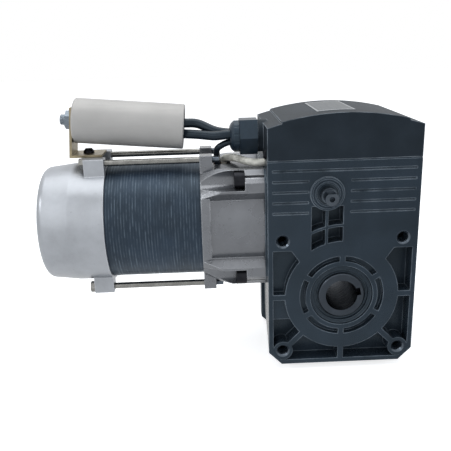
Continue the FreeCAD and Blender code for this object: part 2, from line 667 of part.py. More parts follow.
# Hollow output shaft: bored through, keyway full length, two feather keys for the claw ring
key_start = dims.bearing_start + dims.bearing_width + 0.6
key_length = dims.wheel_hub_front - key_start - 0.4
key_half = 3.0
rear_step = rear_face - dims.bearing_start
chamfer = 0.8
shaft_turned = revolved("shaft_turned", "Y", [
    (dims.bore_radius, 0), (dims.shaft_end_radius - chamfer, 0), (dims.shaft_end_radius, chamfer),
    (dims.shaft_end_radius, dims.bearing_start), (dims.shaft_radius, dims.bearing_start),
    (dims.shaft_radius, rear_step), (dims.shaft_end_radius, rear_step),
    (dims.shaft_end_radius, rear_face - chamfer), (dims.shaft_end_radius - chamfer, rear_face),
    (dims.bore_radius, rear_face)])
bore_keyway = turned("bore_keyway", Vector(0, -1, 0), dims.key_turn,
                     block("bore_keyway_cutter", (0, dims.key_top), (-1, rear_face + 1),
                           (-dims.key_width / 2, dims.key_width / 2)))
clip_groove_depth = 1.0
wheel_clip_start = dims.wheel_hub_front + 0.3
clip_width = 1.5
key_slots = []
feather_keys = []
for side in (-1, 1):
    inner = dims.shaft_radius - 2.5
    outer = dims.shaft_radius + 2.0
    low, high = (inner, outer) if side > 0 else (-outer, -inner)
    span = (key_start, key_start + key_length)
    key_slots.append(block("key_slot", (low, high), span, (-key_half, key_half)))
    feather_keys.append(block("feather_key", (low, high), span, (-key_half, key_half)))
clip_groove = ring("clip_groove", "Y", dims.shaft_radius + 5, dims.shaft_radius - clip_groove_depth,
                   clip_width, 0, wheel_clip_start, 0)
cut("hollow_shaft", shaft_turned, bore_keyway, clip_groove, *key_slots)
group("feather_keys", *feather_keys)
ring("wheel_circlip", "Y", dims.shaft_radius + 2, dims.shaft_radius - clip_groove_depth + dims.seat_gap,
     clip_width, 0, wheel_clip_start, 0)
ring("spacer_sleeve", "Y", dims.shaft_radius + 4, dims.shaft_radius + dims.seat_gap,
     rear_bearing - dims.wheel_hub_rear - 0.2, 0, dims.wheel_hub_rear + 0.1, 0)


def bearing_outer(name, axis, radius, inner_radius, ring_wall, width, x, y, z):
    """Outer ring with its two shields."""
    shield = 0.9
    track = size_of(radius) - ring_wall
    lip = size_of(inner_radius) + ring_wall + dims.clear_gap
    outer = size_of(radius) - dims.seat_gap
    points = [(outer, 0), (outer, width), (lip, width), (lip, width - shield), (track, width - shield),
              (track, shield), (lip, shield), (lip, 0)]
    return revolved(name, axis, points, x, y, z)


def bearing_inner(name, axis, inner_radius, ring_wall, width, x, y, z):
    """Inner ring, a seat fit on its shaft."""
    return ring(name, axis, size_of(inner_radius) + ring_wall, size_of(inner_radius) + dims.seat_gap,
                width, x, y, z)


def seal(name, axis, radius, shaft, width, x, y, z):
    """A shaft seal: a full-width outer rim and a lip set back on both faces."""
    inner = size_of(shaft) + dims.run_gap
    outer = size_of(radius) - dims.seat_gap
    rim = inner + (outer - inner) * 0.5
    step = 1.2
    return revolved(name, axis, [
        (inner, step), (rim, step), (rim, 0), (outer, 0), (outer, width), (rim, width), (rim, width - step),
        (inner, width - step)], x, y, z)


output_bearings = (dims.bearing_start, rear_bearing)
group("output_bearing_outers", *[
    bearing_outer("output_bearing_outer", "Y", dims.bearing_radius, dims.shaft_radius, dims.bearing_ring,
                  dims.bearing_width, 0, start, 0) for start in output_bearings])
group("output_bearing_inners", *[
    bearing_inner("output_bearing_inner", "Y", dims.shaft_radius, dims.bearing_ring, dims.bearing_width, 0,
                  start, 0) for start in output_bearings])
seal_starts = (dims.bearing_start - dims.seal_width - 0.1, rear_bearing + dims.bearing_width + 0.1)
group("output_seals", *[
    seal("output_seal", "Y", dims.seal_radius, dims.shaft_end_radius, dims.seal_width, 0, start, 0)
    for start in seal_starts])

# Worm wheel: slanted teeth in a circular pattern, dog slots for the claw ring in its front hub
flank = function_of("tan", math.tan, dims.flank_angle)
slant = thread_pitch / (2 * math.pi) / dims.worm_pitch_radius
pitch_radius = dims.gear_module * dims.wheel_teeth / 2
tip_radius = pitch_radius + dims.gear_module
root_radius = pitch_radius - 1.2 * dims.gear_module
wheel_front = dims.axis_depth - dims.wheel_width / 2


def toothed_rim():
    body = doc.addObject("PartDesign::Body", "toothed_rim")
    rim = body.newObject("Sketcher::SketchObject", "rim_outline")
    rim.AttachmentSupport = [(origin_plane(body, "XZ_Plane"), "")]
    rim.MapMode = "FlatFace"
    rim.addGeometry(Part.Circle(Vector(), Vector(0, 0, 1), root_radius.value), False)
    rim.addConstraint(Sketcher.Constraint("Coincident", 0, 3, -1, 1))
    number = rim.addConstraint(Sketcher.Constraint("Radius", 0, root_radius.value))
    bind_constraints(rim, [(number, root_radius)])
    disc = body.newObject("PartDesign::Pad", "rim_pad")
    disc.Profile = rim
    bind(disc, "Length", dims.wheel_width)
    disc.Midplane = True
    half_tip = dims.tooth_half - flank * dims.gear_module
    half_base = dims.tooth_half + flank * dims.gear_module * 1.7
    base = pitch_radius - 1.7 * dims.gear_module
    tooth_outline = polygon_sketch(body, "tooth_outline", "XZ_Plane", [
        (-half_base, base), (half_base, base), (half_tip, tip_radius), (-half_tip, tip_radius)])
    tooth = body.newObject("PartDesign::Pad", "tooth")
    tooth.Profile = tooth_outline
    bind(tooth, "Length", dims.wheel_width)
    tooth.Midplane = True
    tooth.UseCustomVector = True
    tooth.AlongSketchNormal = True
    tooth.Direction = Vector(slant.value, 1, 0)
    bind(tooth, "Direction.x", slant)
    pattern = body.newObject("PartDesign::PolarPattern", "teeth")
    pattern.Originals = [tooth]
    pattern.Axis = (rim, ["N_Axis"])
    pattern.Angle = 360
    bind(pattern, "Occurrences", dims.wheel_teeth)
    body.Tip = pattern
    return place(body, 0, dims.axis_depth, 0)


wheel_hub = rod("wheel_hub", "Y", dims.wheel_hub_radius, dims.wheel_hub_rear - dims.wheel_hub_front, 0,
                dims.wheel_hub_front, 0)
web_depth = 4.0
web_rim = root_radius - 3.5
wheel_cuts = [rod("wheel_bore", "Y", dims.shaft_radius + dims.run_gap, 60.0, 0, dims.wheel_hub_front - 10,
                  0),
              rod("clip_recess", "Y", dims.dog_inner - 0.3, 2.2 + 1, 0, dims.wheel_hub_front - 1, 0)]
for start in (wheel_front - 1, wheel_front + dims.wheel_width - web_depth):
    wheel_cuts.append(ring("wheel_web", "Y", web_rim, dims.wheel_hub_radius, web_depth + 1, 0, start, 0))
for turn in (45, 135):
    half = (dims.dog_width + dims.dog_play) / 2
    slot = block("dog_slot_cutter", (-dims.wheel_hub_radius - 1, dims.wheel_hub_radius + 1),
                 (dims.wheel_hub_front - 1, dims.wheel_hub_front + dims.dog_depth + 0.5), (-half, half))
    wheel_cuts.append(turned("dog_slot", Vector(0, 1, 0), turn, slot))
cut("worm_wheel", join("wheel_blank", toothed_rim(), wheel_hub), *wheel_cuts)

# Claw ring: slides on the feather keys, four dogs towards the wheel, a groove for the fork
claw_rear = dims.wheel_hub_front - dims.claw_play
claw_front = claw_rear - dims.claw_length
fork_mid = claw_front + dims.claw_length / 2
claw_ring_body = revolved("claw_turned", "Y", [
    (dims.shaft_radius + dims.run_gap, 0), (dims.claw_radius, 0),
    (dims.claw_radius, (dims.claw_length - dims.fork_groove) / 2),
    (dims.fork_groove_radius, (dims.claw_length - dims.fork_groove) / 2),
    (dims.fork_groove_radius, (dims.claw_length + dims.fork_groove) / 2),
    (dims.claw_radius, (dims.claw_length + dims.fork_groove) / 2),
    (dims.claw_radius, dims.claw_length), (dims.shaft_radius + dims.run_gap, dims.claw_length)],
    0, claw_front, 0)
dogs = []
for turn in (45, 135, 225, 315):
    dog = block("dog_bar", (dims.dog_inner, dims.dog_outer), (claw_rear - 1, claw_rear + dims.dog_depth),
                (-dims.dog_width / 2, dims.dog_width / 2))
    dogs.append(turned("dog", Vector(0, 1, 0), turn, dog))
claw_keyway = block("claw_keyway", (-dims.shaft_radius - 2.3, dims.shaft_radius + 2.3),
                    (claw_front - 1, claw_rear + 1), (-key_half - 0.1, key_half + 0.1))
cut("claw_ring", join("claw_body", claw_ring_body, *dogs), claw_keyway)

# Release spindle: flatted and bored outer end, helical cam slot that shifts the fork
slot_half = (dims.cam_pin_radius + dims.clear_gap) * 1.6
cam_start = fork_mid + dims.fork_hub_length / 2 - 4
cam_overrun = dims.claw_travel / 4
CAM_START_TURN = 22.5


def release_spindle():
    total = dims.spindle_out + dims.spindle_in
    body = revolved("spindle_turned", "Y", [
        (0, 0), (dims.spindle_end_radius, 0), (dims.spindle_end_radius, dims.spindle_end_length),
        (dims.spindle_radius, dims.spindle_end_length), (dims.spindle_radius, total), (0, total)],
        spindle_place[0], -dims.spindle_out, spindle_place[1])
    middle = dims.spindle_out + cam_start + cam_overrun
    outline = polygon_sketch(body, "cam_outline", "XZ_Plane", [
        (dims.cam_floor, middle - slot_half), (dims.spindle_radius + 2, middle - slot_half),
        (dims.spindle_radius + 2, middle + slot_half), (dims.cam_floor, middle + slot_half)])
    slot = body.newObject("PartDesign::SubtractiveHelix", "cam_slot")
    slot.Profile = outline
    slot.ReferenceAxis = (outline, ["V_Axis"])
    slot.Mode = 0
    bind(slot, "Pitch", dims.claw_travel * 4)
    bind(slot, "Height", dims.claw_travel + 2 * cam_overrun)
    slot.Reversed = True
    body.Tip = slot
    body.Placement.Rotation = ALONG["Y"].multiply(Rotation(Vector(0, 0, 1), CAM_START_TURN))
    return body


end_hole = rod("spindle_end_hole", "Y", 2.1, 9.0, spindle_place[0], -dims.spindle_out - 1, spindle_place[1])
flat = block("spindle_flat", (-dims.spindle_x - 10, -dims.spindle_x + 10),
             (-dims.spindle_out - 1, -dims.spindle_out + dims.spindle_end_length),
             (dims.spindle_height + dims.spindle_flat, dims.spindle_height + 10))
cut("release_spindle", release_spindle(), end_hole, flat)
bush_start = 6.0
ring("spindle_bush", "Y", dims.bush_radius - dims.seat_gap, dims.spindle_radius + dims.run_gap,
     dims.front_wall - bush_start, spindle_place[0], bush_start, spindle_place[1])
ring("spindle_seal", "Y", dims.bush_radius - dims.seat_gap, dims.spindle_radius + dims.run_gap,
     bush_start + dims.spindle_boss_out - 1.5, spindle_place[0], -dims.spindle_boss_out + 1.0,
     spindle_place[1])

# Shift fork: a hub on the spindle, an arm and a half-round yoke in the claw ring's groove
fork_thick = dims.fork_groove - 2 * dims.clear_gap
fork_front = fork_mid - fork_thick / 2
yoke = ring("yoke", "Y", dims.fork_radius, dims.fork_groove_radius + dims.clear_gap, fork_thick, 0,
            fork_front, 0)
yoke_trim = block("yoke_trim", (-dims.fork_radius - 5, dims.fork_radius + 5),
                  (fork_front - 1, fork_front + 10),
                  (-dims.fork_radius - 5, -2.0))
arm = padded("fork_arm", "XZ_Plane", [
    (-dims.spindle_x - 7, dims.spindle_height), (-dims.spindle_x - 16, 31.0), (10.0, 34.0),
    (-dims.spindle_x + 7, dims.spindle_height)], fork_thick, y=fork_front)
fork_hub = rod("fork_hub", "Y", dims.fork_hub_radius, dims.fork_hub_length, spindle_place[0], fork_front,
               spindle_place[1])
fork_bore = rod("fork_bore", "Y", dims.spindle_radius + dims.run_gap, 40.0, spindle_place[0],
                fork_front - 5,
                spindle_place[1])
fork_relief = rod("fork_relief", "Y", dims.fork_groove_radius + dims.clear_gap, 20.0, 0, fork_front - 5, 0)
cam_pin = rod("cam_pin", "X", dims.cam_pin_radius, dims.fork_hub_radius - dims.cam_floor - 0.5,
              -dims.spindle_x + dims.cam_floor + 0.5, cam_start, dims.spindle_height)
fork_plain = cut("fork_plain", join("fork_solid", yoke, arm, fork_hub), fork_bore, fork_relief, yoke_trim)
join("shift_fork", fork_plain, cam_pin)

# Motor shaft with the worm cut on it
thread_length = thread_pitch * dims.thread_turns
worm_root = dims.worm_pitch_radius - 1.2 * dims.gear_module
worm_tip = dims.worm_pitch_radius + dims.gear_module
shaft_left = stator_left + dims.end_cover_length - dims.end_cover_wall - 2.0
drive_bearing_left = flange_back - 1.0
worm_end = dims.worm_journal_start + dims.small_bearing_width + 1.0


def worm_shaft():
    rear_step = shaft_left - dims.small_bearing_width - 1.0
    body = revolved("worm_shaft", "X", [
        (0, -shaft_left), (dims.rear_journal, -shaft_left), (dims.rear_journal, -rear_step),
        (dims.motor_shaft_radius, -rear_step), (dims.motor_shaft_radius, -dims.flange_face + 1),
        (worm_root, -dims.flange_face + 1), (worm_root, dims.worm_journal_start),
        (dims.rear_journal, dims.worm_journal_start), (dims.rear_journal, worm_end), (0, worm_end)],
        0, motor_axis["y"], motor_axis["z"])
    start = -thread_length / 2
    half_base = dims.tooth_half + flank * dims.gear_module * 1.6
    half_tip = dims.tooth_half - flank * dims.gear_module
    base = dims.worm_pitch_radius - 1.6 * dims.gear_module
    outline = polygon_sketch(body, "thread_outline", "XZ_Plane", [
        (base, start - half_base), (worm_tip, start - half_tip), (worm_tip, start + half_tip),
        (base, start + half_base)])
    thread = body.newObject("PartDesign::AdditiveHelix", "thread")
    thread.Profile = outline
    thread.ReferenceAxis = (outline, ["V_Axis"])
    thread.Mode = 0
    bind(thread, "Pitch", thread_pitch)
    bind(thread, "Height", thread_length)
    body.Tip = thread
    return body


worm_shaft()

# Rotor core with its end rings
rotor_radius = dims.stator_bore - dims.air_gap
end_ring = 7.0
end_ring_radius = rotor_radius - 2.5
shaft_fit = dims.motor_shaft_radius + dims.seat_gap
revolved("rotor_core", "X", [
    (shaft_fit, -stator_left - end_ring), (end_ring_radius, -stator_left - end_ring),
    (end_ring_radius, -stator_left),
    (rotor_radius, -stator_left), (rotor_radius, -dims.stator_right), (end_ring_radius, -dims.stator_right),
    (end_ring_radius, -dims.stator_right + end_ring), (shaft_fit, -dims.stator_right + end_ring)],
    0, motor_axis["y"], motor_axis["z"])

# Motor and worm bearings: rear, drive end and worm end
small_ring = 3.0
motor_bearings = (
    ("rear", dims.small_bearing_radius, dims.rear_journal, dims.small_bearing_width, -shaft_left + 0.5),
    ("drive", dims.drive_bearing_radius, dims.motor_shaft_radius, dims.drive_bearing_width,
     -drive_bearing_left),
    ("worm", dims.small_bearing_radius, dims.rear_journal, dims.small_bearing_width,
     dims.worm_journal_start),
)
group("motor_bearing_outers", *[
    bearing_outer(f"{end}_bearing_outer", "X", radius, journal, small_ring, width, start, motor_axis["y"],
                  motor_axis["z"]) for end, radius, journal, width, start in motor_bearings])
group("motor_bearing_inners", *[
    bearing_inner(f"{end}_bearing_inner", "X", journal, small_ring, width, start, motor_axis["y"],
                  motor_axis["z"])
    for end, radius, journal, width, start in motor_bearings])
seal_outer = 17.5
seal("worm_shaft_seal", "X", seal_outer, worm_root, dims.spigot_length - 2, -dims.flange_face + 1.5,
     motor_axis["y"], motor_axis["z"])
rod("worm_end_plug", "X", dims.plug_radius - dims.seat_gap, dims.plug_thick,
    dims.half_width - dims.plug_thick,
    motor_axis["y"], motor_axis["z"])

# Stator core and the end turns of its winding
ring("stator_core", "X", dims.stator_radius, dims.stator_bore, dims.stator_length, -stator_left,
     motor_axis["y"],
     motor_axis["z"])


def end_turns(name, start):
    """One crown of copper end turns, rounded at its corners."""
    corner = 3.0
    inner, outer, length = dims.winding_inner, dims.winding_outer, dims.winding_length
    return revolved(name, "X", [
        (inner, corner), (inner + corner, 0), (outer - corner, 0), (outer, corner),
        (outer, length - corner),
        (outer - corner, length), (inner + corner, length), (inner, length - corner)],
        start, motor_axis["y"], motor_axis["z"])


group("stator_windings", end_turns("left_end_turns", -stator_left - dims.winding_length),
      end_turns("right_end_turns", -dims.stator_right))

# Motor adapter: round at the stator, square at the gearbox, with channels for the flange screws
adapter_left = dims.stator_right + dims.rim_overlap
collar_radius = dims.stator_radius + dims.adapter_rim
cone_length = adapter_left - flange_back
adapter_cone = taper("adapter_cone", "X", collar_radius, dims.flange_half * 1.4, cone_length, -adapter_left,
                     motor_axis["y"], motor_axis["z"])
adapter_prism = padded("adapter_prism", "YZ_Plane", flange_outline(), cone_length, x=-adapter_left)


def corner_bars():
    """Two crossed bars through the motor's axis, one to each pair of flange corners."""
    bars = []
    for turn in (45, 135):
        reach = dims.flange_half * 2
        bar = block("corner_bar", (-adapter_left, -dims.flange_face), (-reach, reach),
                    (-dims.tower_half, dims.tower_half))
        bars.append(turned("corner_bar_turned", Vector(1, 0, 0), turn, bar, 0, motor_axis["y"],
                           motor_axis["z"]))
    return join("corner_bars", *bars)


adapter_towers = common("adapter_towers", common("adapter_shape", adapter_cone, adapter_prism),
                        corner_bars())
barrel_radius = dims.flange_half - 0.4
adapter_barrel = rod("adapter_barrel", "X", barrel_radius, adapter_left - dims.flange_face, -adapter_left,
                     motor_axis["y"], motor_axis["z"])
adapter_ring = rod("adapter_ring", "X", collar_radius, dims.adapter_ring, -adapter_left, motor_axis["y"],
                   motor_axis["z"])
flange_plate = padded("flange_plate", "YZ_Plane", flange_outline(), dims.flange_thick, x=-flange_back)
adapter_flange = common("adapter_flange", flange_plate, corner_bars())
spigot = rod("spigot", "X", dims.spigot_radius, dims.spigot_length + 1, -dims.flange_face - 1,
             motor_axis["y"],
             motor_axis["z"])


def tie_lugs(name, left, length):
    """Four lugs that carry the long motor bolts, standing on the round of the casting."""
    lugs = []
    for y, z, end in tie_places:
        inner = centre_distance + end * (dims.stator_radius - 6)
        outer = z + end * dims.tie_cap
        low, high = (inner, outer) if end > 0 else (outer, inner)
        lugs.append(block(name, (left, left + length), (y - dims.tie_lug, y + dims.tie_lug), (low, high)))
    return lugs


adapter_body = join("adapter_body", adapter_towers, adapter_barrel, adapter_ring, adapter_flange, spigot,
                    *tie_lugs("adapter_lug", -adapter_left, dims.adapter_lug_length))
hollow_radius = dims.stator_radius - dims.adapter_wall
hollow_length = adapter_left - flange_back - 9.0
adapter_cuts = [
    rod("adapter_collar_seat", "X", dims.stator_radius + dims.run_gap, dims.rim_overlap, -adapter_left,
        motor_axis["y"], motor_axis["z"]),
    rod("adapter_hollow", "X", hollow_radius, hollow_length, -adapter_left, motor_axis["y"],
        motor_axis["z"]),
    rod("shaft_passage", "X", dims.motor_shaft_radius + 1, adapter_left, -adapter_left, motor_axis["y"],
        motor_axis["z"]),
    rod("drive_bearing_seat", "X", dims.drive_bearing_radius, dims.drive_bearing_width, -drive_bearing_left,
        motor_axis["y"], motor_axis["z"]),
    rod("worm_seal_seat", "X", seal_outer, 40.0, -drive_bearing_left + dims.drive_bearing_width - 1,
        motor_axis["y"], motor_axis["z"]),
    block("lead_window", (-adapter_left + 11, -adapter_left + 25),
          (dims.axis_depth - 8, dims.axis_depth + 8), (centre_distance + 30, centre_distance + 70)),
]
for y, z in flange_screw_places:
    channel = dims.flange_screw_head + 0.7
    adapter_cuts.append(rod("screw_channel", "X", channel, cone_length + 1, -adapter_left - 1, y, z))
    front = y.value < dims.axis_depth.value
    reach = (y - 40, y) if front else (y, y + 40)
    adapter_cuts.append(block("screw_notch", (-adapter_left - 1, -flange_back), reach,
                              (z - channel, z + channel)))
    adapter_cuts.append(rod("screw_hole", "X", dims.flange_screw_radius + dims.bolt_gap,
                            dims.flange_thick + 2,
                            -flange_back - 1, y, z))
for y, z, end in tie_places:
    adapter_cuts.append(rod("tie_tap", "X", dims.tie_radius + dims.run_gap, dims.adapter_lug_length + 2,
                            -adapter_left - 1, y, z))
cut("motor_adapter", adapter_body, *adapter_cuts)

flange_screws = []
socket_half = 3.0
for y, z in flange_screw_places:
    head_length = dims.flange_screw_radius * 2
    head = rod("flange_screw_head", "X", dims.flange_screw_head, head_length, -flange_back - head_length,
               y, z)
    shank = rod("flange_screw_shank", "X", dims.flange_screw_radius,
                dims.flange_thick + dims.flange_screw_length,
                -flange_back, y, z)
    socket = hexagon("flange_screw_socket", "X", socket_half, 5.0, -flange_back - head_length - 1, y, z)
    flange_screws.append(cut("flange_screw", join("flange_screw_blank", head, shank), socket))
group("flange_screws", *flange_screws)

# Motor end cover: a deep cast cup with a rolled end, lugs and the pad for the capacitor bracket
cover_end = stator_left + dims.end_cover_length
cover_bore = dims.stator_radius + dims.run_gap
bearing_boss = dims.small_bearing_radius + 5
bearing_depth = shaft_left - dims.small_bearing_width
cover_cup = revolved("cover_cup", "X", [
    (0, -cover_end), (dims.end_cover_end_radius, -cover_end),
    (collar_radius - 0.5, -cover_end + dims.end_cover_length / 2),
    (collar_radius, -stator_left + dims.rim_overlap),
    (cover_bore, -stator_left + dims.rim_overlap), (cover_bore, -stator_left),
    (dims.stator_radius - 3, -stator_left),
    (dims.end_cover_end_radius - 3.6, -cover_end + dims.end_cover_wall + 4),
    (dims.end_cover_end_radius - 7, -cover_end + dims.end_cover_wall),
    (bearing_boss, -cover_end + dims.end_cover_wall), (bearing_boss, -bearing_depth),
    (dims.small_bearing_radius, -bearing_depth),
    (dims.small_bearing_radius, -cover_end + dims.end_cover_wall),
    (0, -cover_end + dims.end_cover_wall)], 0, motor_axis["y"], motor_axis["z"])


def is_end_rim(edge):
    circle = edge.Curve
    if not isinstance(circle, Part.Circle):
        return False
    at_end = abs(circle.Center.x + cover_end.value) < 0.01 or abs(circle.Center.z + cover_end.value) < 0.01
    return at_end and abs(circle.Radius - dims.end_cover_end_radius.value) < 0.01


round_edges(cover_cup, dims.end_cover_round, is_end_rim)
cover_lug_left = -stator_left - dims.tie_lug_back
bracket_foot_low = dims.can_height - dims.bracket_height + dims.can_radius / 2
bracket_pad_low = centre_distance + dims.stator_radius - 2.6
bracket_pad = rod("bracket_pad", "Z", dims.bracket_pad_radius, bracket_foot_low - bracket_pad_low,
                  -dims.bracket_screw_back, motor_axis["y"], bracket_pad_low)
end_cover_cuts = [
    rod("stator_clear", "X", cover_bore, 30.0, -stator_left, motor_axis["y"], motor_axis["z"]),
    ring("cup_clear", "X", dims.stator_radius - 3.4, bearing_boss, dims.end_cover_length - 12,
         -cover_end + 14,
         motor_axis["y"], motor_axis["z"]),
    rod("bracket_tap", "Z", 2.5 + dims.run_gap, 12.0, -dims.bracket_screw_back, motor_axis["y"],
        bracket_foot_low - 9),
]
for y, z, end in tie_places:
    end_cover_cuts.append(rod("tie_hole", "X", dims.tie_radius + dims.run_gap, dims.tie_lug_length + 2,
                              cover_lug_left - 1, y, z))
end_cover_solid = join("end_cover_solid", cover_cup, bracket_pad,
                       *tie_lugs("cover_lug", cover_lug_left, dims.tie_lug_length))
cut("motor_end_cover", end_cover_solid, *end_cover_cuts)

# Long motor bolts: hex head on the end cover's lugs, threaded end through the adapter's lugs
tie_head = 3.8
tie_length = -cover_lug_left - adapter_left + dims.adapter_lug_length + dims.tie_tail
tie_bolts = []
for y, z, end in tie_places:
    shank = rod("tie_shank", "X", dims.tie_radius, tie_length, cover_lug_left, y, z)
    head = hexagon("tie_head", "X", dims.tie_radius * 1.6, tie_head, cover_lug_left - tie_head, y, z)
    tie_bolts.append(join("tie_bolt", shank, head))
group("tie_bolts", *tie_bolts)

# Run capacitor on its bracket; can, stud, nut and bracket share the can's tilted axis
can_turn = Rotation(Vector(0, 1, 0), dims.can_tilt.value)


def along_can(item, x, y, z):
    """Lays a piece that was made along +Z on the capacitor's tilted axis."""
    return place(item, x, y, z, can_turn.multiply(ALONG["X"]))


can_sine = function_of("sin", math.sin, dims.can_tilt)
can_cosine = function_of("cos", math.cos, dims.can_tilt)


def can_point(distance):
    """A point on the capacitor's axis, measured from the left end of the can."""
    return (-dims.can_left + can_cosine * distance, motor_axis["y"], dims.can_height - can_sine * distance)


can = revolved("capacitor", "Z", [
    (0, -dims.stud_length), (dims.stud_radius, -dims.stud_length), (dims.stud_radius, 0),
    (dims.can_radius - 1.2, 0),
    (dims.can_radius, 1.2), (dims.can_radius, dims.can_length - 0.8),
    (dims.can_radius - 0.8, dims.can_length),
    (dims.can_radius - 2.5, dims.can_length), (dims.can_radius - 2.5, dims.can_length - 1.5),
    (0, dims.can_length - 1.5)])
along_can(can, *can_point(0.0))
nut_height = 5.0
nut_blank = along_can(hexagon("nut_blank", "Z", dims.stud_radius * 1.62, nut_height, 0, 0, 0),
                      *can_point(-dims.bracket_thick - 0.1 - nut_height))
nut_hole = along_can(rod("nut_hole", "Z", dims.stud_radius + dims.run_gap, nut_height + 2, 0, 0, 0),
                     *can_point(-dims.bracket_thick - 1.1 - nut_height))
cut("capacitor_nut", nut_blank, nut_hole)

upright_x = -dims.can_left - 0.05
foot_top = bracket_foot_low + dims.bracket_thick
upright_foot = upright_x - can_sine * (dims.can_height - bracket_foot_low)
upright_top = upright_x + can_sine * dims.can_radius * 0.62
plate = dims.bracket_thick
bracket_plate = padded("bracket_plate", "XZ_Plane", [
    (upright_foot - plate, bracket_foot_low), (upright_foot + dims.bracket_foot, bracket_foot_low),
    (upright_foot + dims.bracket_foot, foot_top), (upright_foot + can_sine * plate, foot_top),
    (upright_top, dims.can_height + dims.can_radius * 0.62),
    (upright_top - plate, dims.can_height + dims.can_radius * 0.62)],
    dims.bracket_width, y=motor_axis["y"] - dims.bracket_width / 2)
bracket_stud_hole = along_can(
    rod("bracket_stud_hole", "Z", dims.stud_radius + dims.bolt_gap, 12.0, 0, 0, 0), *can_point(-8.0))
bracket_screw_hole = rod("bracket_screw_hole", "Z", 2.5 + dims.bolt_gap, 12.0, -dims.bracket_screw_back,
                         motor_axis["y"], bracket_foot_low - 4)
cut("capacitor_bracket", bracket_plate, bracket_stud_hole, bracket_screw_hole)
button_screw("bracket_screw", "Z", 2.5, 4.4, 3.6, 9.5, -dims.bracket_screw_back, motor_axis["y"],
             foot_top, -1)

# Cable gland screwed into the boss on the lid's left side
gland_root = -dims.lid_half_width - dims.gland_boss
gland_y = dims.gland_depth
hex_start = gland_root - dims.gland_hex_length
gland_tube = rod("gland_tube", "X", dims.gland_thread, dims.gland_boss + dims.lid_wall + 2, gland_root - 1,
                 gland_y,
                 gland_z)
gland_hex = hexagon("gland_hex", "X", dims.gland_hex, dims.gland_hex_length, hex_start, gland_y, gland_z)
gland_bore = rod("gland_bore", "X", dims.gland_bore, 60.0, hex_start - 10, gland_y, gland_z)
cut("gland_body", join("gland_solid", gland_tube, gland_hex), gland_bore)
dome_start = hex_start - 0.1
dome = revolved("gland_dome_turned", "X", [
    (dims.gland_bore, 0), (dims.gland_hex - 1, 0), (dims.gland_hex - 1, -dims.gland_dome_length * 0.55),
    (dims.gland_hex - 3, -dims.gland_dome_length * 0.85), (dims.gland_hex - 5, -dims.gland_dome_length),
    (dims.gland_bore, -dims.gland_dome_length)], dome_start, gland_y, gland_z)
dome_flutes = []
for turn in range(12):
    angle = math.radians(30 * turn + 15)
    dome_flutes.append(rod("dome_flute", "X", 1.3, 30.0, dome_start - dims.gland_dome_length - 5,
                           gland_y + dims.gland_hex * math.cos(angle),
                           gland_z + dims.gland_hex * math.sin(angle)))
cut("gland_dome_nut", dome, *dome_flutes)

# Terminal block on a plate in the wiring tray
plate_top = tray_floor + 2.0
tray_middle = dims.deck_depth / 2
block("terminal_plate", (-24.0, 44.0), (tray_middle - 18, tray_middle + 18), (tray_floor, plate_top))
terminal_body = block("terminal_body", (-18.0, 38.0), (tray_middle - 10, tray_middle + 10),
                      (plate_top, plate_top + 16))
terminal_cells = []
for pole in range(6):
    middle = -13.5 + 9.4 * pole
    terminal_cells.append(rod("terminal_screw_well", "Z", 2.6, 9.0, middle, tray_middle, plate_top + 9))
    terminal_cells.append(block("terminal_mouth", (middle - 3, middle + 3),
                                (tray_middle - 14, tray_middle - 5),
                                (plate_top + 2, plate_top + 7)))
cut("terminal_block", terminal_body, *terminal_cells)


def lead_path(points):
    """Straight runs joined by tangent arcs, each as large as its two runs allow."""
    edges = []
    start = points[0]
    radii = []
    for before, corner, after in zip(points, points[1:], points[2:]):
        run_in = corner - before
        run_out = after - corner
        half_turn = run_in.getAngle(run_out) / 2
        setback = 0.45 * min(run_in.Length, run_out.Length)
        radius = setback / math.tan(half_turn)
        radii.append(round(radius, 1))
        run_in.normalize()
        run_out.normalize()
        first = corner - run_in * setback
        last = corner + run_out * setback
        inward = run_out - run_in
        inward.normalize()
        middle = corner + inward * (radius / math.cos(half_turn) - radius)
        edges.append(Part.LineSegment(start, first).toShape())
        edges.append(Part.Arc(first, middle, last).toShape())
        start = last
    edges.append(Part.LineSegment(start, points[-1]).toShape())
    return Part.Wire(edges), radii


def lead(name, radius, points):
    """A round insulated lead along its route."""
    path, radii = lead_path([Vector(*point) for point in points])
    direction = Vector(*points[1]) - Vector(*points[0])
    section = Part.Wire(Part.makeCircle(radius, Vector(*points[0]), direction))
    tube = doc.addObject("Part::Feature", name)
    tube.Shape = path.makePipeShell([section], True, True)
    share = tube.Shape.Volume / (math.pi * radius * radius * path.Length)
    print(name, "length", round(path.Length, 1), "radii", radii, "volume share", round(share, 3))


# Leads: two from the capacitor and one from the motor through the gland, a sleeved one from the motor
lead_radius = 3.7
motor_lead_radius = 2.6
sleeve_radius = 3.0
gland_mouth = dome_start.value - dims.gland_dome_length.value - 2
inside_lid = -dims.lid_half_width.value + dims.lid_wall.value + 6
hole_circle = 4.33
lead_turns = [math.radians(turn) for turn in (30, 150, 270)]
lead_holes = [(dims.gland_depth.value + hole_circle * math.cos(turn),
               gland_z.value + hole_circle * math.sin(turn)) for turn in lead_turns]
can_end = can_point(dims.can_length - 1.5)
can_x = can_end[0].value
can_z = can_end[2].value
lead("capacitor_lead_upper", lead_radius, [
    (can_x + 0.8, 51.0, can_z + 2.8), (can_x + 12, 51.4, can_z + 2.6),
    (can_x + 26, 45.7, lead_holes[0][1] + 1.6),
    (gland_mouth, *lead_holes[0]), (inside_lid, *lead_holes[0])])
lead("capacitor_lead_lower", lead_radius, [
    (can_x + 0.3, 47.0, can_z - 5.2), (can_x + 12, 45.2, can_z - 5.8),
    (can_x + 26, 37.4, lead_holes[1][1] - 1.2),
    (gland_mouth, *lead_holes[1]), (inside_lid, *lead_holes[1])])
window_x = -adapter_left.value + 18
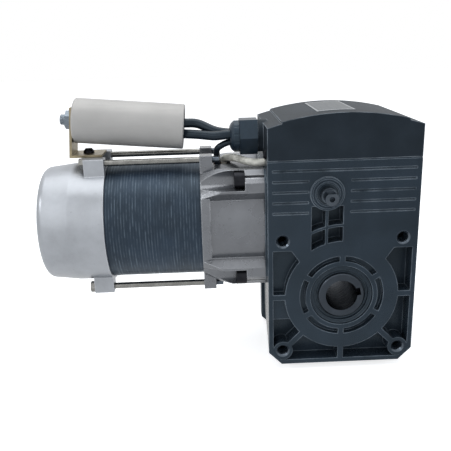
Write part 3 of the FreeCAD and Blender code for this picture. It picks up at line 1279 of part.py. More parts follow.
lead("motor_lead", motor_lead_radius, [
    (window_x - 3, 48.6, 97.4), (window_x - 4, 47.6, 108.0), (gland_mouth - 9, 41.5, 114.5),
    (gland_mouth, *lead_holes[2]), (inside_lid, *lead_holes[2])])
sleeve_y, sleeve_end = dims.sleeve_hole_depth.value, sleeve_z.value
lead("lead_sleeve", sleeve_radius, [
    (window_x + 1, 55.5, 97.2), (window_x + 1.5, 54.5, 104.0), (window_x + 11, 43.0, sleeve_end + 1.2),
    (window_x + 22, sleeve_y + 0.8, sleeve_end),
    (-dims.half_width.value + 6, sleeve_y, sleeve_end)])

# Every sub-part is named by its label and written to its own file
PARTS = [
    "gear_housing", "rear_cover", "rear_cover_screws", "lid", "lid_gasket", "lid_screws", "hollow_shaft",
    "feather_keys", "wheel_circlip", "spacer_sleeve", "output_bearing_outers", "output_bearing_inners",
    "output_seals", "worm_wheel", "claw_ring", "release_spindle", "spindle_bush", "spindle_seal",
    "shift_fork",
    "worm_shaft", "rotor_core", "motor_bearing_outers", "motor_bearing_inners", "worm_shaft_seal",
    "worm_end_plug", "stator_core", "stator_windings", "motor_adapter", "flange_screws", "motor_end_cover",
    "tie_bolts", "capacitor", "capacitor_nut", "capacitor_bracket", "bracket_screw", "gland_body",
    "gland_dome_nut", "terminal_plate", "terminal_block", "capacitor_lead_upper", "capacitor_lead_lower",
    "motor_lead", "lead_sleeve",
]
doc.recompute()
for item in doc.Objects:
    if "Invalid" in item.State or "Error" in item.State:
        raise RuntimeError(f"{item.Label} failed: {item.State}")
os.makedirs("parts", exist_ok=True)
for name in PARTS:
    item = doc.getObject(name)
    if item.Shape.isNull() or not item.Shape.isValid():
        raise RuntimeError(f"{name} has no valid shape")
    item.Shape.exportStep(f"parts/{name}.step")
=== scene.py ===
"""Looks of the door operator: materials, small details, studio and camera."""

import json
import math

import bmesh
import bpy
from mathutils import Matrix, Vector

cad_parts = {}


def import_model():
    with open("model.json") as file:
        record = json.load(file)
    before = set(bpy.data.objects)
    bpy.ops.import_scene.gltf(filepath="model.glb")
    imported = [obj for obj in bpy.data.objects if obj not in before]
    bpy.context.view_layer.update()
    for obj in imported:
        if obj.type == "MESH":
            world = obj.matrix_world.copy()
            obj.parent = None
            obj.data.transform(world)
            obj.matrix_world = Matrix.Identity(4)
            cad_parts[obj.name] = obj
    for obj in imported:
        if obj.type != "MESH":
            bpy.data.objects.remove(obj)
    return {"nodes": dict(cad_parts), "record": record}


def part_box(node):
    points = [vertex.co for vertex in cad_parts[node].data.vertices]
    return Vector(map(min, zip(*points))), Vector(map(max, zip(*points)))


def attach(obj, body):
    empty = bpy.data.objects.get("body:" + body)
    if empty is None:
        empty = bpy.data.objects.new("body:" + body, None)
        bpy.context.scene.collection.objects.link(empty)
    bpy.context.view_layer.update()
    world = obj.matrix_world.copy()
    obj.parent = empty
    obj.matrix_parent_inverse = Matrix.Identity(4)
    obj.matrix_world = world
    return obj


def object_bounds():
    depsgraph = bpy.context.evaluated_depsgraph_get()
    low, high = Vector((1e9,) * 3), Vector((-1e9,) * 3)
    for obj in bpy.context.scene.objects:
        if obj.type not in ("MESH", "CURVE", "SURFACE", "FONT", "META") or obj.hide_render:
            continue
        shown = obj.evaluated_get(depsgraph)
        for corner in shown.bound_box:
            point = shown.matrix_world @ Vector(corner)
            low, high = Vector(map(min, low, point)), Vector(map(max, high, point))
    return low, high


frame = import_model()
MM = 0.001


def plain(bounds):
    """A box's two corners as plain lists of numbers."""
    return [[float(value) for value in corner] for corner in bounds]


bounds_at_start = plain(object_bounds())

# Node materials
SOCKETS = {"metallic": "Metallic", "roughness": "Roughness", "specular": "Specular IOR Level",
           "tint": "Specular Tint"}
MIX_SHARE, MIX_BASE, MIX_COLOUR, MIX_RESULT = 0, 6, 7, 2
WAVE_RADIANS_PER_UNIT = 20.0
BEVEL_SAMPLES = 6
# How far the rounded normal leans on an edge and on flat ground, for the painted edge highlights
EDGE_LEAN, FLAT_LEAN = 0.80, 0.99
RAMP_START, RAMP_END = 0.3, 0.7


class Nodes:
    """One material's node tree, with short calls for the nodes that most surfaces share."""

    def __init__(self, name):
        self.material = bpy.data.materials.new(name)
        self.material.use_nodes = True
        self.tree = self.material.node_tree
        self.shader = self.tree.nodes["Principled BSDF"]
        self.place = self.add("ShaderNodeTexCoord").outputs["Object"]

    def add(self, kind, **settings):
        node = self.tree.nodes.new(kind)
        for key, value in settings.items():
            setattr(node, key, value)
        return node

    def link(self, source, target):
        self.tree.links.new(source, target)

    def set(self, **values):
        for key, value in values.items():
            self.shader.inputs[SOCKETS[key]].default_value = value

    def stretched(self, x, y, z):
        """Object coordinates, multiplied along each axis."""
        mapping = self.add("ShaderNodeMapping")
        mapping.inputs["Scale"].default_value = (x, y, z)
        self.link(self.place, mapping.inputs["Vector"])
        return mapping.outputs["Vector"]

    def noise(self, scale, detail, roughness=0.5, place=None):
        """Cloudy noise whose scale counts the clouds to a metre."""
        node = self.add("ShaderNodeTexNoise")
        node.inputs["Scale"].default_value = scale
        node.inputs["Detail"].default_value = detail
        node.inputs["Roughness"].default_value = roughness
        self.link(place or self.place, node.inputs["Vector"])
        return node.outputs["Fac"]

    def rings(self, pitch):
        """Even bands along X, one to each pitch."""
        node = self.add("ShaderNodeTexWave", wave_type="BANDS", bands_direction="X")
        node.inputs["Scale"].default_value = math.tau / (WAVE_RADIANS_PER_UNIT * pitch)
        node.inputs["Distortion"].default_value = 0.0
        self.link(self.place, node.inputs["Vector"])
        return node.outputs["Fac"]

    def ramp(self, value, dark, light):
        """A blend from a dark to a light colour."""
        node = self.add("ShaderNodeValToRGB")
        stops = ((RAMP_START, dark), (RAMP_END, light))
        for element, (position, colour) in zip(node.color_ramp.elements, stops):
            element.position = position
            element.color = (*colour, 1.0)
        self.link(value, node.inputs["Fac"])
        return node.outputs["Color"]

    def levels(self, value, low, high, start=RAMP_START, end=RAMP_END):
        """Goes from low to high while the value goes from start to end."""
        node = self.add("ShaderNodeMapRange")
        node.inputs["From Min"].default_value = start
        node.inputs["From Max"].default_value = end
        node.inputs["To Min"].default_value = low
        node.inputs["To Max"].default_value = high
        self.link(value, node.inputs["Value"])
        return node.outputs["Result"]

    def bump(self, height, distance, strength, normal=None):
        node = self.add("ShaderNodeBump")
        node.inputs["Strength"].default_value = strength
        node.inputs["Distance"].default_value = distance
        self.link(height, node.inputs["Height"])
        if normal is not None:
            self.link(normal, node.inputs["Normal"])
        return node.outputs["Normal"]

    def soft_edges(self, radius):
        node = self.add("ShaderNodeBevel", samples=BEVEL_SAMPLES)
        node.inputs["Radius"].default_value = radius
        return node.outputs["Normal"]

    def edge_wear_and_highlight(self, radius):
        """0 on flat ground and 1 on an outer or inner edge, from how far the rounded normal leans."""
        lean = self.add("ShaderNodeVectorMath", operation="DOT_PRODUCT")
        self.link(self.soft_edges(radius), lean.inputs[0])
        self.link(self.add("ShaderNodeNewGeometry").outputs["Normal"], lean.inputs[1])
        return self.levels(lean.outputs["Value"], 1.0, 0.0, EDGE_LEAN, FLAT_LEAN)

    def mixed(self, share, base, colour):
        """A share of one even colour over a base."""
        node = self.add("ShaderNodeMix", data_type="RGBA")
        self.link(share, node.inputs[MIX_SHARE])
        self.link(base, node.inputs[MIX_BASE])
        node.inputs[MIX_COLOUR].default_value = (*colour, 1.0)
        return node.outputs[MIX_RESULT]

    def product(self, first, second):
        """A value times another value or a number."""
        node = self.add("ShaderNodeMath", operation="MULTIPLY")
        self.link(first, node.inputs[0])
        if isinstance(second, float):
            node.inputs[1].default_value = second
        else:
            self.link(second, node.inputs[1])
        return node.outputs[0]

    def colour(self, socket):
        self.link(socket, self.shader.inputs["Base Color"])

    def roughness(self, socket):
        self.link(socket, self.shader.inputs["Roughness"])

    def normal(self, socket):
        self.link(socket, self.shader.inputs["Normal"])


COOL_TINT = (0.70, 0.87, 1.0, 1.0)
# Lighter edge colours of the paint: painted highlights along the edges, with some worn paint
CASTING_EDGE_HIGHLIGHT = (0.225, 0.265, 0.305)
LID_EDGE_HIGHLIGHT = (0.320, 0.360, 0.400)
# Colour of the aluminium's lighter edges: painted highlight over polished metal
POLISHED_EDGE_HIGHLIGHT = (0.72, 0.75, 0.79)
PIT_SHARE, PIT_SHADE = 0.4, 0.45
SHEET_BUNDLE = 2.3 * MM
# Painted glints on the motor's sheet lines: how much of them, and their colour
GLINT_SHARE = 0.9
GLINT_COLOUR = (0.078, 0.104, 0.134)
TURNING_LINES, TURNING_LENGTH = 2200.0, 30.0


def scaled(colour, factor):
    return tuple(value * factor for value in colour)


def shades(colour, low, high):
    """A darker and a lighter version of a colour, for a ramp."""
    return scaled(colour, low), scaled(colour, high)


def painted_casting(name, colour, edge, rough, specular):
    """Fine-textured dark paint over a casting, lighter along its edges in patches: partly worn paint, partly
    a painted highlight.
    """
    nodes = Nodes(name)
    paint = nodes.ramp(nodes.noise(28.0, 4.0), *shades(colour, 0.75, 1.25))
    patchy = nodes.levels(nodes.noise(55.0, 3.0), 0.0, 1.0, 0.30, 0.56)
    # Painted highlight, partly worn paint: the edges lighten in patches
    wear_and_highlight = nodes.product(nodes.edge_wear_and_highlight(1.2 * MM), patchy)
    nodes.colour(nodes.mixed(wear_and_highlight, paint, edge))
    grain = nodes.noise(2600.0, 2.0)
    nodes.roughness(nodes.levels(grain, rough - 0.06, rough + 0.1))
    nodes.normal(nodes.bump(grain, 0.06 * MM, 0.5, nodes.soft_edges(0.7 * MM)))
    nodes.set(metallic=0.0, specular=specular, tint=COOL_TINT)
    return nodes.material


def cast_aluminium(name, colour, rough, metallic, polish_and_highlight_share):
    """Bare die-cast aluminium with a sandy skin, soft blotches, darker pits, and edges lightened in patches:
    partly polished metal, partly a painted highlight.
    """
    nodes = Nodes(name)
    blotch = nodes.noise(45.0, 5.0, 0.6)
    pits = nodes.levels(nodes.noise(420.0, 2.0), 0.0, 1.0, 0.70, 0.80)
    skin_tone = nodes.ramp(blotch, *shades(colour, 0.84, 1.1))
    pitted = nodes.mixed(nodes.product(pits, PIT_SHARE), skin_tone, scaled(colour, PIT_SHADE))
    patchy_edges = nodes.levels(nodes.noise(70.0, 3.0), 0.0, polish_and_highlight_share, 0.30, 0.56)
    # Painted highlight, partly polished metal: the edges lighten in patches
    polish_and_highlight = nodes.product(nodes.edge_wear_and_highlight(1.4 * MM), patchy_edges)
    nodes.colour(nodes.mixed(polish_and_highlight, pitted, POLISHED_EDGE_HIGHLIGHT))
    skin = nodes.noise(1900.0, 3.0)
    nodes.roughness(nodes.levels(blotch, rough - 0.05, rough + 0.12))
    nodes.normal(nodes.bump(skin, 0.07 * MM, 0.35, nodes.soft_edges(0.8 * MM)))
    nodes.set(metallic=metallic)
    return nodes.material


def laminated_steel(name, colour):
    """Edges of stacked sheets under varnish: fine rings round the motor's axis, bumped to catch the light,
    with painted glints.
    """
    nodes = Nodes(name)
    sheets = nodes.noise(1.0, 2.0, 0.6, nodes.stretched(1000.0, 30.0, 30.0))
    glint_flecks = nodes.noise(1.0, 3.0, 0.6, nodes.stretched(420.0, 110.0, 110.0))
    varnish = nodes.ramp(nodes.noise(26.0, 3.0), *shades(colour, 0.45, 1.15))
    bundles = nodes.levels(nodes.rings(SHEET_BUNDLE), 0.0, 1.0, 0.30, 0.95)
    lines = nodes.product(nodes.levels(sheets, 0.25, 1.0, 0.40, 0.60), bundles)
    # Painted glints: lighter flecks along the sheet lines
    painted_glints = nodes.product(nodes.levels(glint_flecks, 0.1, 1.0, 0.40, 0.60), lines)
    nodes.colour(nodes.mixed(nodes.product(painted_glints, GLINT_SHARE), varnish, GLINT_COLOUR))
    nodes.roughness(nodes.levels(sheets, 0.48, 0.34))
    nodes.normal(nodes.bump(sheets, 0.16 * MM, 0.7))
    nodes.set(metallic=0.25, specular=0.50, tint=COOL_TINT)
    return nodes.material


def turned_steel(name, colour, rough):
    """Machined metal with fine turning lines round an axis along Y."""
    nodes = Nodes(name)
    lines = nodes.noise(1.0, 2.0, 0.5, nodes.stretched(TURNING_LENGTH, TURNING_LINES, TURNING_LENGTH))
    nodes.colour(nodes.ramp(nodes.noise(120.0, 3.0), *shades(colour, 0.85, 1.1)))
    nodes.roughness(nodes.levels(lines, rough - 0.06, rough + 0.1))
    nodes.normal(nodes.bump(lines, 0.04 * MM, 0.5, nodes.soft_edges(0.3 * MM)))
    nodes.set(metallic=1.0)
    return nodes.material


def plated_steel(name, colour, rough):
    """Smooth metal or plate with faint clouds of colour."""
    nodes = Nodes(name)
    clouds = nodes.noise(160.0, 4.0, 0.6)
    nodes.colour(nodes.ramp(clouds, *shades(colour, 0.72, 1.15)))
    nodes.roughness(nodes.levels(nodes.noise(900.0, 2.0), rough - 0.05, rough + 0.1))
    nodes.normal(nodes.bump(clouds, 0.05 * MM, 0.3, nodes.soft_edges(0.3 * MM)))
    nodes.set(metallic=1.0)
    return nodes.material


def moulded(name, colour, rough, specular=0.5, edge=0.3 * MM):
    """Moulded plastic or rubber with a fine matte grain."""
    nodes = Nodes(name)
    nodes.colour(nodes.ramp(nodes.noise(300.0, 3.0), *shades(colour, 0.85, 1.15)))
    grain = nodes.noise(3500.0, 2.0)
    nodes.roughness(nodes.levels(grain, rough - 0.05, rough + 0.08))
    nodes.normal(nodes.bump(grain, 0.03 * MM, 0.4, nodes.soft_edges(edge)))
    nodes.set(specular=specular, tint=COOL_TINT)
    return nodes.material


def woven_sleeve(name, colour):
    """A crumpled braided sleeve: soft folds under a fine weave, with painted shade in the low places of the
    folds.
    """
    nodes = Nodes(name)
    folds = nodes.noise(170.0, 2.0)
    weave = nodes.noise(1.0, 2.0, 0.5, nodes.stretched(900.0, 900.0, 1500.0))
    # Painted shade: darker where the folds lie low
    nodes.colour(nodes.ramp(folds, *shades(colour, 0.65, 1.15)))
    nodes.roughness(nodes.levels(weave, 0.6, 0.8))
    nodes.normal(nodes.bump(weave, 0.2 * MM, 0.5, nodes.bump(folds, 1.6 * MM, 0.8)))
    nodes.set(specular=0.3)
    return nodes.material


def drawn_can(name, colour):
    """The capacitor's satin can: faint drawing lines along its length and a soft stain."""
    nodes = Nodes(name)
    lines = nodes.noise(1.0, 3.0, 0.5, nodes.stretched(12.0, 500.0, 500.0))
    nodes.colour(nodes.ramp(nodes.noise(35.0, 4.0), *shades(colour, 0.9, 1.06)))
    nodes.roughness(nodes.levels(lines, 0.46, 0.58))
    nodes.normal(nodes.bump(lines, 0.02 * MM, 0.4))
    nodes.set(metallic=0.2, specular=0.35)
    return nodes.material


def brushed_plate(name, dark, light):
    """Aluminium brushed along the lid's depth."""
    nodes = Nodes(name)
    lines = nodes.noise(1.0, 3.0, 0.6, nodes.stretched(2400.0, 40.0, 40.0))
    nodes.colour(nodes.ramp(lines, dark, light))
    nodes.roughness(nodes.levels(lines, 0.32, 0.5))
    nodes.normal(nodes.bump(lines, 0.03 * MM, 0.5, nodes.soft_edges(0.3 * MM)))
    nodes.set(metallic=0.9)
    return nodes.material


# Finishes: how each one is made, and its settings
FINISHES = {
    "charcoal_casting": (painted_casting, dict(
        colour=(0.0185, 0.0270, 0.0375), edge=CASTING_EDGE_HIGHLIGHT, rough=0.25, specular=0.34)),
    "charcoal_lid": (painted_casting, dict(
        colour=(0.0190, 0.0250, 0.0320), edge=LID_EDGE_HIGHLIGHT, rough=0.48, specular=0.11)),
    "raw_aluminium": (cast_aluminium, dict(
        colour=(0.375, 0.395, 0.425), rough=0.33, metallic=0.75, polish_and_highlight_share=0.8)),
    "dull_aluminium": (cast_aluminium, dict(
        colour=(0.180, 0.188, 0.203), rough=0.24, metallic=0.65, polish_and_highlight_share=0.4)),
    "laminations": (laminated_steel, dict(colour=(0.018, 0.030, 0.050))),
    "bright_steel": (turned_steel, dict(colour=(0.42, 0.42, 0.43), rough=0.32)),
    "dark_steel": (turned_steel, dict(colour=(0.054, 0.065, 0.080), rough=0.24)),
    "thread_steel": (turned_steel, dict(colour=(0.100, 0.120, 0.145), rough=0.20)),
    "zinc_steel": (plated_steel, dict(colour=(0.24, 0.24, 0.23), rough=0.28)),
    "blue_zinc": (plated_steel, dict(colour=(0.17, 0.20, 0.23), rough=0.26)),
    "yellow_zinc": (plated_steel, dict(colour=(0.29, 0.25, 0.17), rough=0.34)),
    "black_oxide": (plated_steel, dict(colour=(0.022, 0.023, 0.027), rough=0.36)),
    "bronze": (turned_steel, dict(colour=(0.50, 0.31, 0.12), rough=0.35)),
    "copper": (plated_steel, dict(colour=(0.50, 0.20, 0.08), rough=0.35)),
    "can_metal": (drawn_can, dict(colour=(0.42, 0.41, 0.395))),
    "seal_rubber": (moulded, dict(colour=(0.010, 0.016, 0.024), rough=0.14, specular=0.6, edge=0.2 * MM)),
    "gland_plastic": (moulded, dict(colour=(0.011, 0.019, 0.030), rough=0.34, specular=0.46)),
    "lead_black": (moulded, dict(colour=(0.009, 0.014, 0.021), rough=0.18, specular=0.32)),
    "sleeve_cream": (woven_sleeve, dict(colour=(0.76, 0.74, 0.66))),
    "terminal_plastic": (moulded, dict(colour=(0.55, 0.55, 0.52), rough=0.45)),
    "plate_rim": (brushed_plate, dict(dark=(0.26, 0.28, 0.30), light=(0.40, 0.42, 0.44))),
    "plate_field": (brushed_plate, dict(dark=(0.055, 0.065, 0.075), light=(0.130, 0.145, 0.160))),
}
LOOKS = {name: maker(name, **settings) for name, (maker, settings) in FINISHES.items()}
NODE_LOOKS = {"motor_adapter": "dull_aluminium", "release_spindle": "thread_steel",
              "capacitor_nut": "blue_zinc"}
for entry in frame["record"]["subparts"]:
    look = NODE_LOOKS.get(entry["node"], entry["material_slot"])
    for slot in frame["nodes"][entry["node"]].material_slots:
        slot.material = LOOKS[look]

# Small pieces that stand on the solids
ROUND_POINTS, FINE_ROUND_POINTS = 40, 96


def piece(name, mesh, look):
    """Puts a finished bmesh in the scene, fixed to the operator's body."""
    data = bpy.data.meshes.new(name)
    bmesh.ops.recalc_face_normals(mesh, faces=mesh.faces)
    mesh.to_mesh(data)
    mesh.free()
    data.materials.append(LOOKS[look])
    item = bpy.data.objects.new(name, data)
    bpy.context.collection.objects.link(item)
    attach(item, "operator")


def grid(mesh, rows):
    """Faces between successive closed rows of points."""
    lines = [[mesh.verts.new(point) for point in row] for row in rows]
    for first, second in zip(lines, lines[1:]):
        count = len(first)
        for index in range(count):
            after = (index + 1) % count
            mesh.faces.new((first[index], first[after], second[after], second[index]))
    return lines


def circle(radius, depth, x=0.0, z=0.0, count=ROUND_POINTS):
    """Points round an axis along Y."""
    turns = [math.tau * step / count for step in range(count)]
    return [(x + radius * math.cos(turn), depth, z + radius * math.sin(turn)) for turn in turns]


# The blank plate on the lid
LID_ARCH_RADIUS = 198.0 * MM
PLATE_LEFT, PLATE_RIGHT = -19.2 * MM, 9.8 * MM
PLATE_FRONT, PLATE_BACK = 14.5 * MM, 75.0 * MM
PLATE_THICK = 0.45 * MM
PLATE_RIM = 1.3 * MM
FIELD_THICK = 0.52 * MM
PLATE_SUNK = 0.1 * MM
PLATE_STEPS = 12


def lid_plate(name, margin, thickness, look):
    """A blank rectangle that follows the lid's arched top, inset by a margin, twice as wide in depth."""
    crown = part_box("lid")[1][2]
    left = PLATE_LEFT + margin
    width = PLATE_RIGHT - margin - left
    front = PLATE_FRONT + 2 * margin
    back = PLATE_BACK - 2 * margin
    mesh = bmesh.new()
    rows = []
    for step in range(PLATE_STEPS + 1):
        across = left + width * step / PLATE_STEPS
        drop = LID_ARCH_RADIUS - math.sqrt(LID_ARCH_RADIUS ** 2 - across ** 2)
        low = crown - drop - PLATE_SUNK
        high = crown - drop + thickness
        rows.append([(across, front, low), (across, front, high), (across, back, high), (across, back, low)])
    lines = grid(mesh, rows)
    mesh.faces.new(lines[0])
    mesh.faces.new(lines[-1])
    piece(name, mesh, look)


# Threads in the four mounting holes
MOUNT_PITCH = 94.0 * MM
MOUNT_HOLE_RADIUS = 4.25 * MM
MOUNT_CHAMFER = 1.1 * MM
MOUNT_SKIN = 0.03 * MM
THREAD_PITCH = 1.5 * MM
THREAD_DEPTH = 0.55 * MM
THREAD_TURNS = 7


def tapped_hole(x, z):
    """The machined chamfer and thread crests inside one mounting hole."""
    mesh = bmesh.new()
    rows = [circle(MOUNT_HOLE_RADIUS + MOUNT_CHAMFER, -MOUNT_SKIN, x, z),
            circle(MOUNT_HOLE_RADIUS, MOUNT_CHAMFER - MOUNT_SKIN, x, z)]
    for turn in range(THREAD_TURNS):
        start = MOUNT_CHAMFER + turn * THREAD_PITCH
        rows.append(circle(MOUNT_HOLE_RADIUS - MOUNT_SKIN, start, x, z))
        rows.append(circle(MOUNT_HOLE_RADIUS - THREAD_DEPTH, start + THREAD_PITCH / 2, x, z))
    grid(mesh, rows)
    piece("tapped_hole", mesh, "thread_steel")


# Ridges on the shaft seal and on the spindle's boss: radius, depth and thickness of each
SEAL_RIDGES = ((24.0 * MM, 1.5 * MM, 0.75 * MM), (21.9 * MM, 1.6 * MM, 0.6 * MM),
               (19.6 * MM, 2.7 * MM, 0.7 * MM))
SPINDLE_X, SPINDLE_Z = -13.0 * MM, 84.4 * MM
BOSS_RIDGES = ((9.3 * MM, -2.0 * MM, 0.5 * MM), (11.4 * MM, -2.0 * MM, 0.5 * MM))
RIDGE_SIDES = 8
WELD_DISTANCE = 0.001 * MM


def ridge(name, radius, depth, thickness, x, z, look):
    """One eight-sided ridge round an axis along Y, half sunk in the face that it stands on."""
    mesh = bmesh.new()
    turns = [math.tau / RIDGE_SIDES * (step + 0.5) for step in range(RIDGE_SIDES)]
    rows = [circle(radius + thickness * math.cos(turn), depth + thickness * math.sin(turn), x, z,
                   FINE_ROUND_POINTS) for turn in turns]
    grid(mesh, rows + rows[:1])
    bmesh.ops.remove_doubles(mesh, verts=mesh.verts, dist=WELD_DISTANCE)
    piece(name, mesh, look)


# Open ends of the capacitor's stud and of the four motor bolts
MOTOR_AXIS_Y, MOTOR_AXIS_Z = 52.0 * MM, 55.0 * MM
CAN_LEFT, CAN_HEIGHT, CAN_TILT = -208.5 * MM, 139.3 * MM, math.radians(5.2)
NUT_FACE = 7.1 * MM
STUD_RADIUS, STUD_PITCH, STUD_TURNS = 4.02 * MM, 1.25 * MM, 3
TIE_SPREAD, TIE_REACH = 19.0 * MM, 52.2 * MM
TIE_TAIL_X = -99.3 * MM
TIE_RADIUS, TIE_PITCH, TIE_TURNS = 2.52 * MM, 0.8 * MM, 7
CREST_PER_PITCH = 0.18
TIP_PER_RADIUS, TIP_PER_PITCH = 0.85, 0.4


def bolt_end(name, start, direction, radius, pitch, turns, look):
    """Thread crests and a flat tip on the open end of a bolt, from start along direction."""
    mesh = bmesh.new()
    rows = []
    for turn in range(turns):
        rows.append(circle(radius, turn * pitch))
        rows.append(circle(radius + CREST_PER_PITCH * pitch, (turn + 0.5) * pitch))
    rows.append(circle(radius, turns * pitch))
    rows.append(circle(TIP_PER_RADIUS * radius, (turns + TIP_PER_PITCH) * pitch))
    lines = grid(mesh, rows)
    mesh.faces.new(lines[-1])
    lean = Vector((0.0, 1.0, 0.0)).rotation_difference(Vector(direction)).to_matrix().to_4x4()
    bmesh.ops.transform(mesh, matrix=Matrix.Translation(start) @ lean, verts=mesh.verts)
    piece(name, mesh, look)


def bolt_ends():
    """The capacitor's stud beyond its nut, and the four motor bolts beyond the adapter's lugs."""
    outward = Vector((-math.cos(CAN_TILT), 0.0, math.sin(CAN_TILT)))
    stud_start = Vector((CAN_LEFT, MOTOR_AXIS_Y, CAN_HEIGHT)) + outward * NUT_FACE
    bolt_end("stud_thread", stud_start, outward, STUD_RADIUS, STUD_PITCH, STUD_TURNS, "blue_zinc")
    along_motor = (1.0, 0.0, 0.0)
    for side in (-1, 1):
        for end in (-1, 1):
            tail_start = (TIE_TAIL_X, MOTOR_AXIS_Y + side * TIE_SPREAD, MOTOR_AXIS_Z + end * TIE_REACH)
            bolt_end("tie_thread", tail_start, along_motor, TIE_RADIUS, TIE_PITCH, TIE_TURNS, "thread_steel")


lid_plate("lid_plate", 0.0, PLATE_THICK, "plate_rim")
lid_plate("plate_field", PLATE_RIM, FIELD_THICK, "plate_field")
bolt_ends()
for sizes in SEAL_RIDGES:
    ridge("seal_ridge", *sizes, 0.0, 0.0, "seal_rubber")
for sizes in BOSS_RIDGES:
    ridge("boss_ridge", *sizes, SPINDLE_X, SPINDLE_Z, "charcoal_casting")
for side in (-0.5, 0.5):
    for end in (-0.5, 0.5):
        tapped_hole(side * MOUNT_PITCH, end * MOUNT_PITCH)

# Studio: a pale floor that keeps a faint shadow, and surroundings that the camera sees as plain white
FLOOR_SIZE = 8.0
FLOOR_CENTRE_X = -0.09
FLOOR_DROP = 0.5 * MM
FLOOR_DARK, FLOOR_LIGHT = (0.78, 0.78, 0.78), (0.82, 0.82, 0.82)
FLOOR_ROUGHNESS = 0.8
FLOOR_GLOW = 0.72
MIRRORED_FLOOR_LEFT, MIRRORED_FLOOR_RIGHT = 1.0, 0.45
FADE_START_X, FADE_END_X = 0.0, 0.32
ROOM_COLOUR = (0.86, 0.92, 1.0, 1.0)
ROOM_STRENGTH = 0.66
WHITE = (1.0, 1.0, 1.0, 1.0)


def stage_material():
    """A pale floor: lit and shadowed for the camera, and an even glow, fading to the right, in mirrors."""
    nodes = Nodes("pale_stage")
    nodes.colour(nodes.ramp(nodes.noise(6.0, 3.0), FLOOR_DARK, FLOOR_LIGHT))
    nodes.set(roughness=FLOOR_ROUGHNESS)
    path = nodes.add("ShaderNodeLightPath")
    lit = nodes.shader.outputs["BSDF"]
    across = nodes.add("ShaderNodeSeparateXYZ")
    nodes.link(nodes.place, across.inputs["Vector"])
    mirrored = nodes.add("ShaderNodeEmission")
    fading = nodes.levels(across.outputs["X"], MIRRORED_FLOOR_LEFT, MIRRORED_FLOOR_RIGHT,
                          FADE_START_X, FADE_END_X)
    nodes.link(fading, mirrored.inputs["Strength"])
    glow = nodes.add("ShaderNodeEmission")
    glow.inputs["Strength"].default_value = FLOOR_GLOW
    seen = nodes.add("ShaderNodeAddShader")
    nodes.link(lit, seen.inputs[0])
    nodes.link(glow.outputs["Emission"], seen.inputs[1])
    surface = lit
    for ray, look in (("Is Glossy Ray", mirrored.outputs["Emission"]),
                      ("Is Transmission Ray", seen.outputs["Shader"]),
                      ("Is Camera Ray", seen.outputs["Shader"])):
        mix = nodes.add("ShaderNodeMixShader")
        nodes.link(path.outputs[ray], mix.inputs["Fac"])
        nodes.link(surface, mix.inputs[1])
        nodes.link(look, mix.inputs[2])
        surface = mix.outputs["Shader"]
    nodes.link(surface, nodes.tree.nodes["Material Output"].inputs["Surface"])
    return nodes.material


def floor():
    """A wide plane just under the operator's lowest point."""
    low = bounds_at_start[0][2]
    bpy.ops.mesh.primitive_plane_add(size=FLOOR_SIZE, location=(FLOOR_CENTRE_X, 0.0, low - FLOOR_DROP))
    plane = bpy.context.object
    plane.name = "floor"
    plane.data.materials.append(stage_material())


def world():
    """Soft pale blue surroundings that the camera and mirrors see as white."""
    ambient = bpy.data.worlds.new("studio")
    bpy.context.scene.world = ambient
    ambient.use_nodes = True
    tree = ambient.node_tree
    soft = tree.nodes["Background"]
    soft.inputs["Color"].default_value = ROOM_COLOUR
    soft.inputs["Strength"].default_value = ROOM_STRENGTH
    white = tree.nodes.new("ShaderNodeBackground")
    white.inputs["Color"].default_value = WHITE
    path = tree.nodes.new("ShaderNodeLightPath")
    surface = soft.outputs["Background"]
    for ray in ("Is Glossy Ray", "Is Transmission Ray", "Is Camera Ray"):
        mix = tree.nodes.new("ShaderNodeMixShader")
        tree.links.new(path.outputs[ray], mix.inputs["Fac"])
        tree.links.new(surface, mix.inputs[1])
        tree.links.new(white.outputs["Background"], mix.inputs[2])
        surface = mix.outputs["Shader"]
    tree.links.new(surface, tree.nodes["World Output"].inputs["Surface"])


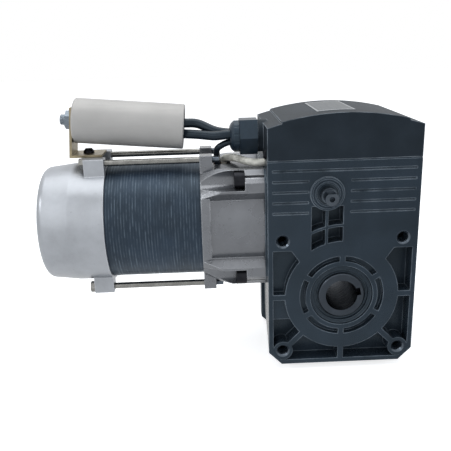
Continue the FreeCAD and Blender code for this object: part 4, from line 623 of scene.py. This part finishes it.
LAMP_TARGET = Vector((-0.09, 0.05, 0.05))
LAMPS = {
    "overhead": dict(place=(-0.10, 0.15, 0.95), width=1.2, height=0.9, power=6.2),
    "front_left": dict(place=(-0.75, -0.85, 0.55), width=0.8, height=0.8, power=1.5),
    "front_right": dict(place=(0.70, -0.80, 0.25), width=0.6, height=0.8, power=0.8),
    "key": dict(place=(-0.89, -0.24, 0.59), width=0.14, height=0.14, power=1.0),
}


def softbox(name, place, width, height, power):
    """A rectangular lamp that faces the operator's middle."""
    light = bpy.data.lights.new(name, "AREA")
    light.shape = "RECTANGLE"
    light.size = width
    light.size_y = height
    light.energy = power
    lamp = bpy.data.objects.new(name, light)
    lamp.location = place
    lamp.rotation_euler = (LAMP_TARGET - Vector(place)).to_track_quat("-Z", "Y").to_euler()
    bpy.context.collection.objects.link(lamp)


CAMERA_TARGET = Vector((-90.97, 0.0, 62.05)) * MM
CAMERA_DISTANCE = 470.73 * MM
CAMERA_AZIMUTH = math.radians(1.346)
CAMERA_ELEVATION = math.radians(17.047)
CAMERA_ROLL = math.radians(-1.738)
FOCAL_PIXELS = 615.28
IMAGE_PIXELS = 451
SENSOR_WIDTH = 36.0
NEAR_CLIP = 0.01


def camera():
    """The photo's viewpoint: a little above the motor's height, almost square to the front face."""
    level = math.cos(CAMERA_ELEVATION)
    back = Vector((-math.sin(CAMERA_AZIMUTH) * level, -math.cos(CAMERA_AZIMUTH) * level,
                   math.sin(CAMERA_ELEVATION)))
    right = (-back).cross(Vector((0, 0, 1))).normalized()
    up = right.cross(-back)
    turn = Matrix.Rotation(CAMERA_ROLL, 3, back)
    lens = bpy.data.cameras.new("camera")
    lens.sensor_width = SENSOR_WIDTH
    lens.lens = FOCAL_PIXELS / IMAGE_PIXELS * SENSOR_WIDTH
    lens.clip_start = NEAR_CLIP
    view = bpy.data.objects.new("camera", lens)
    axes = Matrix((turn @ right, turn @ up, back)).transposed().to_4x4()
    view.matrix_world = Matrix.Translation(CAMERA_TARGET + back * CAMERA_DISTANCE) @ axes
    bpy.context.collection.objects.link(view)
    bpy.context.scene.camera = view


floor()
world()
for lamp_name, lamp_settings in LAMPS.items():
    softbox(lamp_name, **lamp_settings)
camera()
bpy.context.scene.view_settings.view_transform = "Standard"
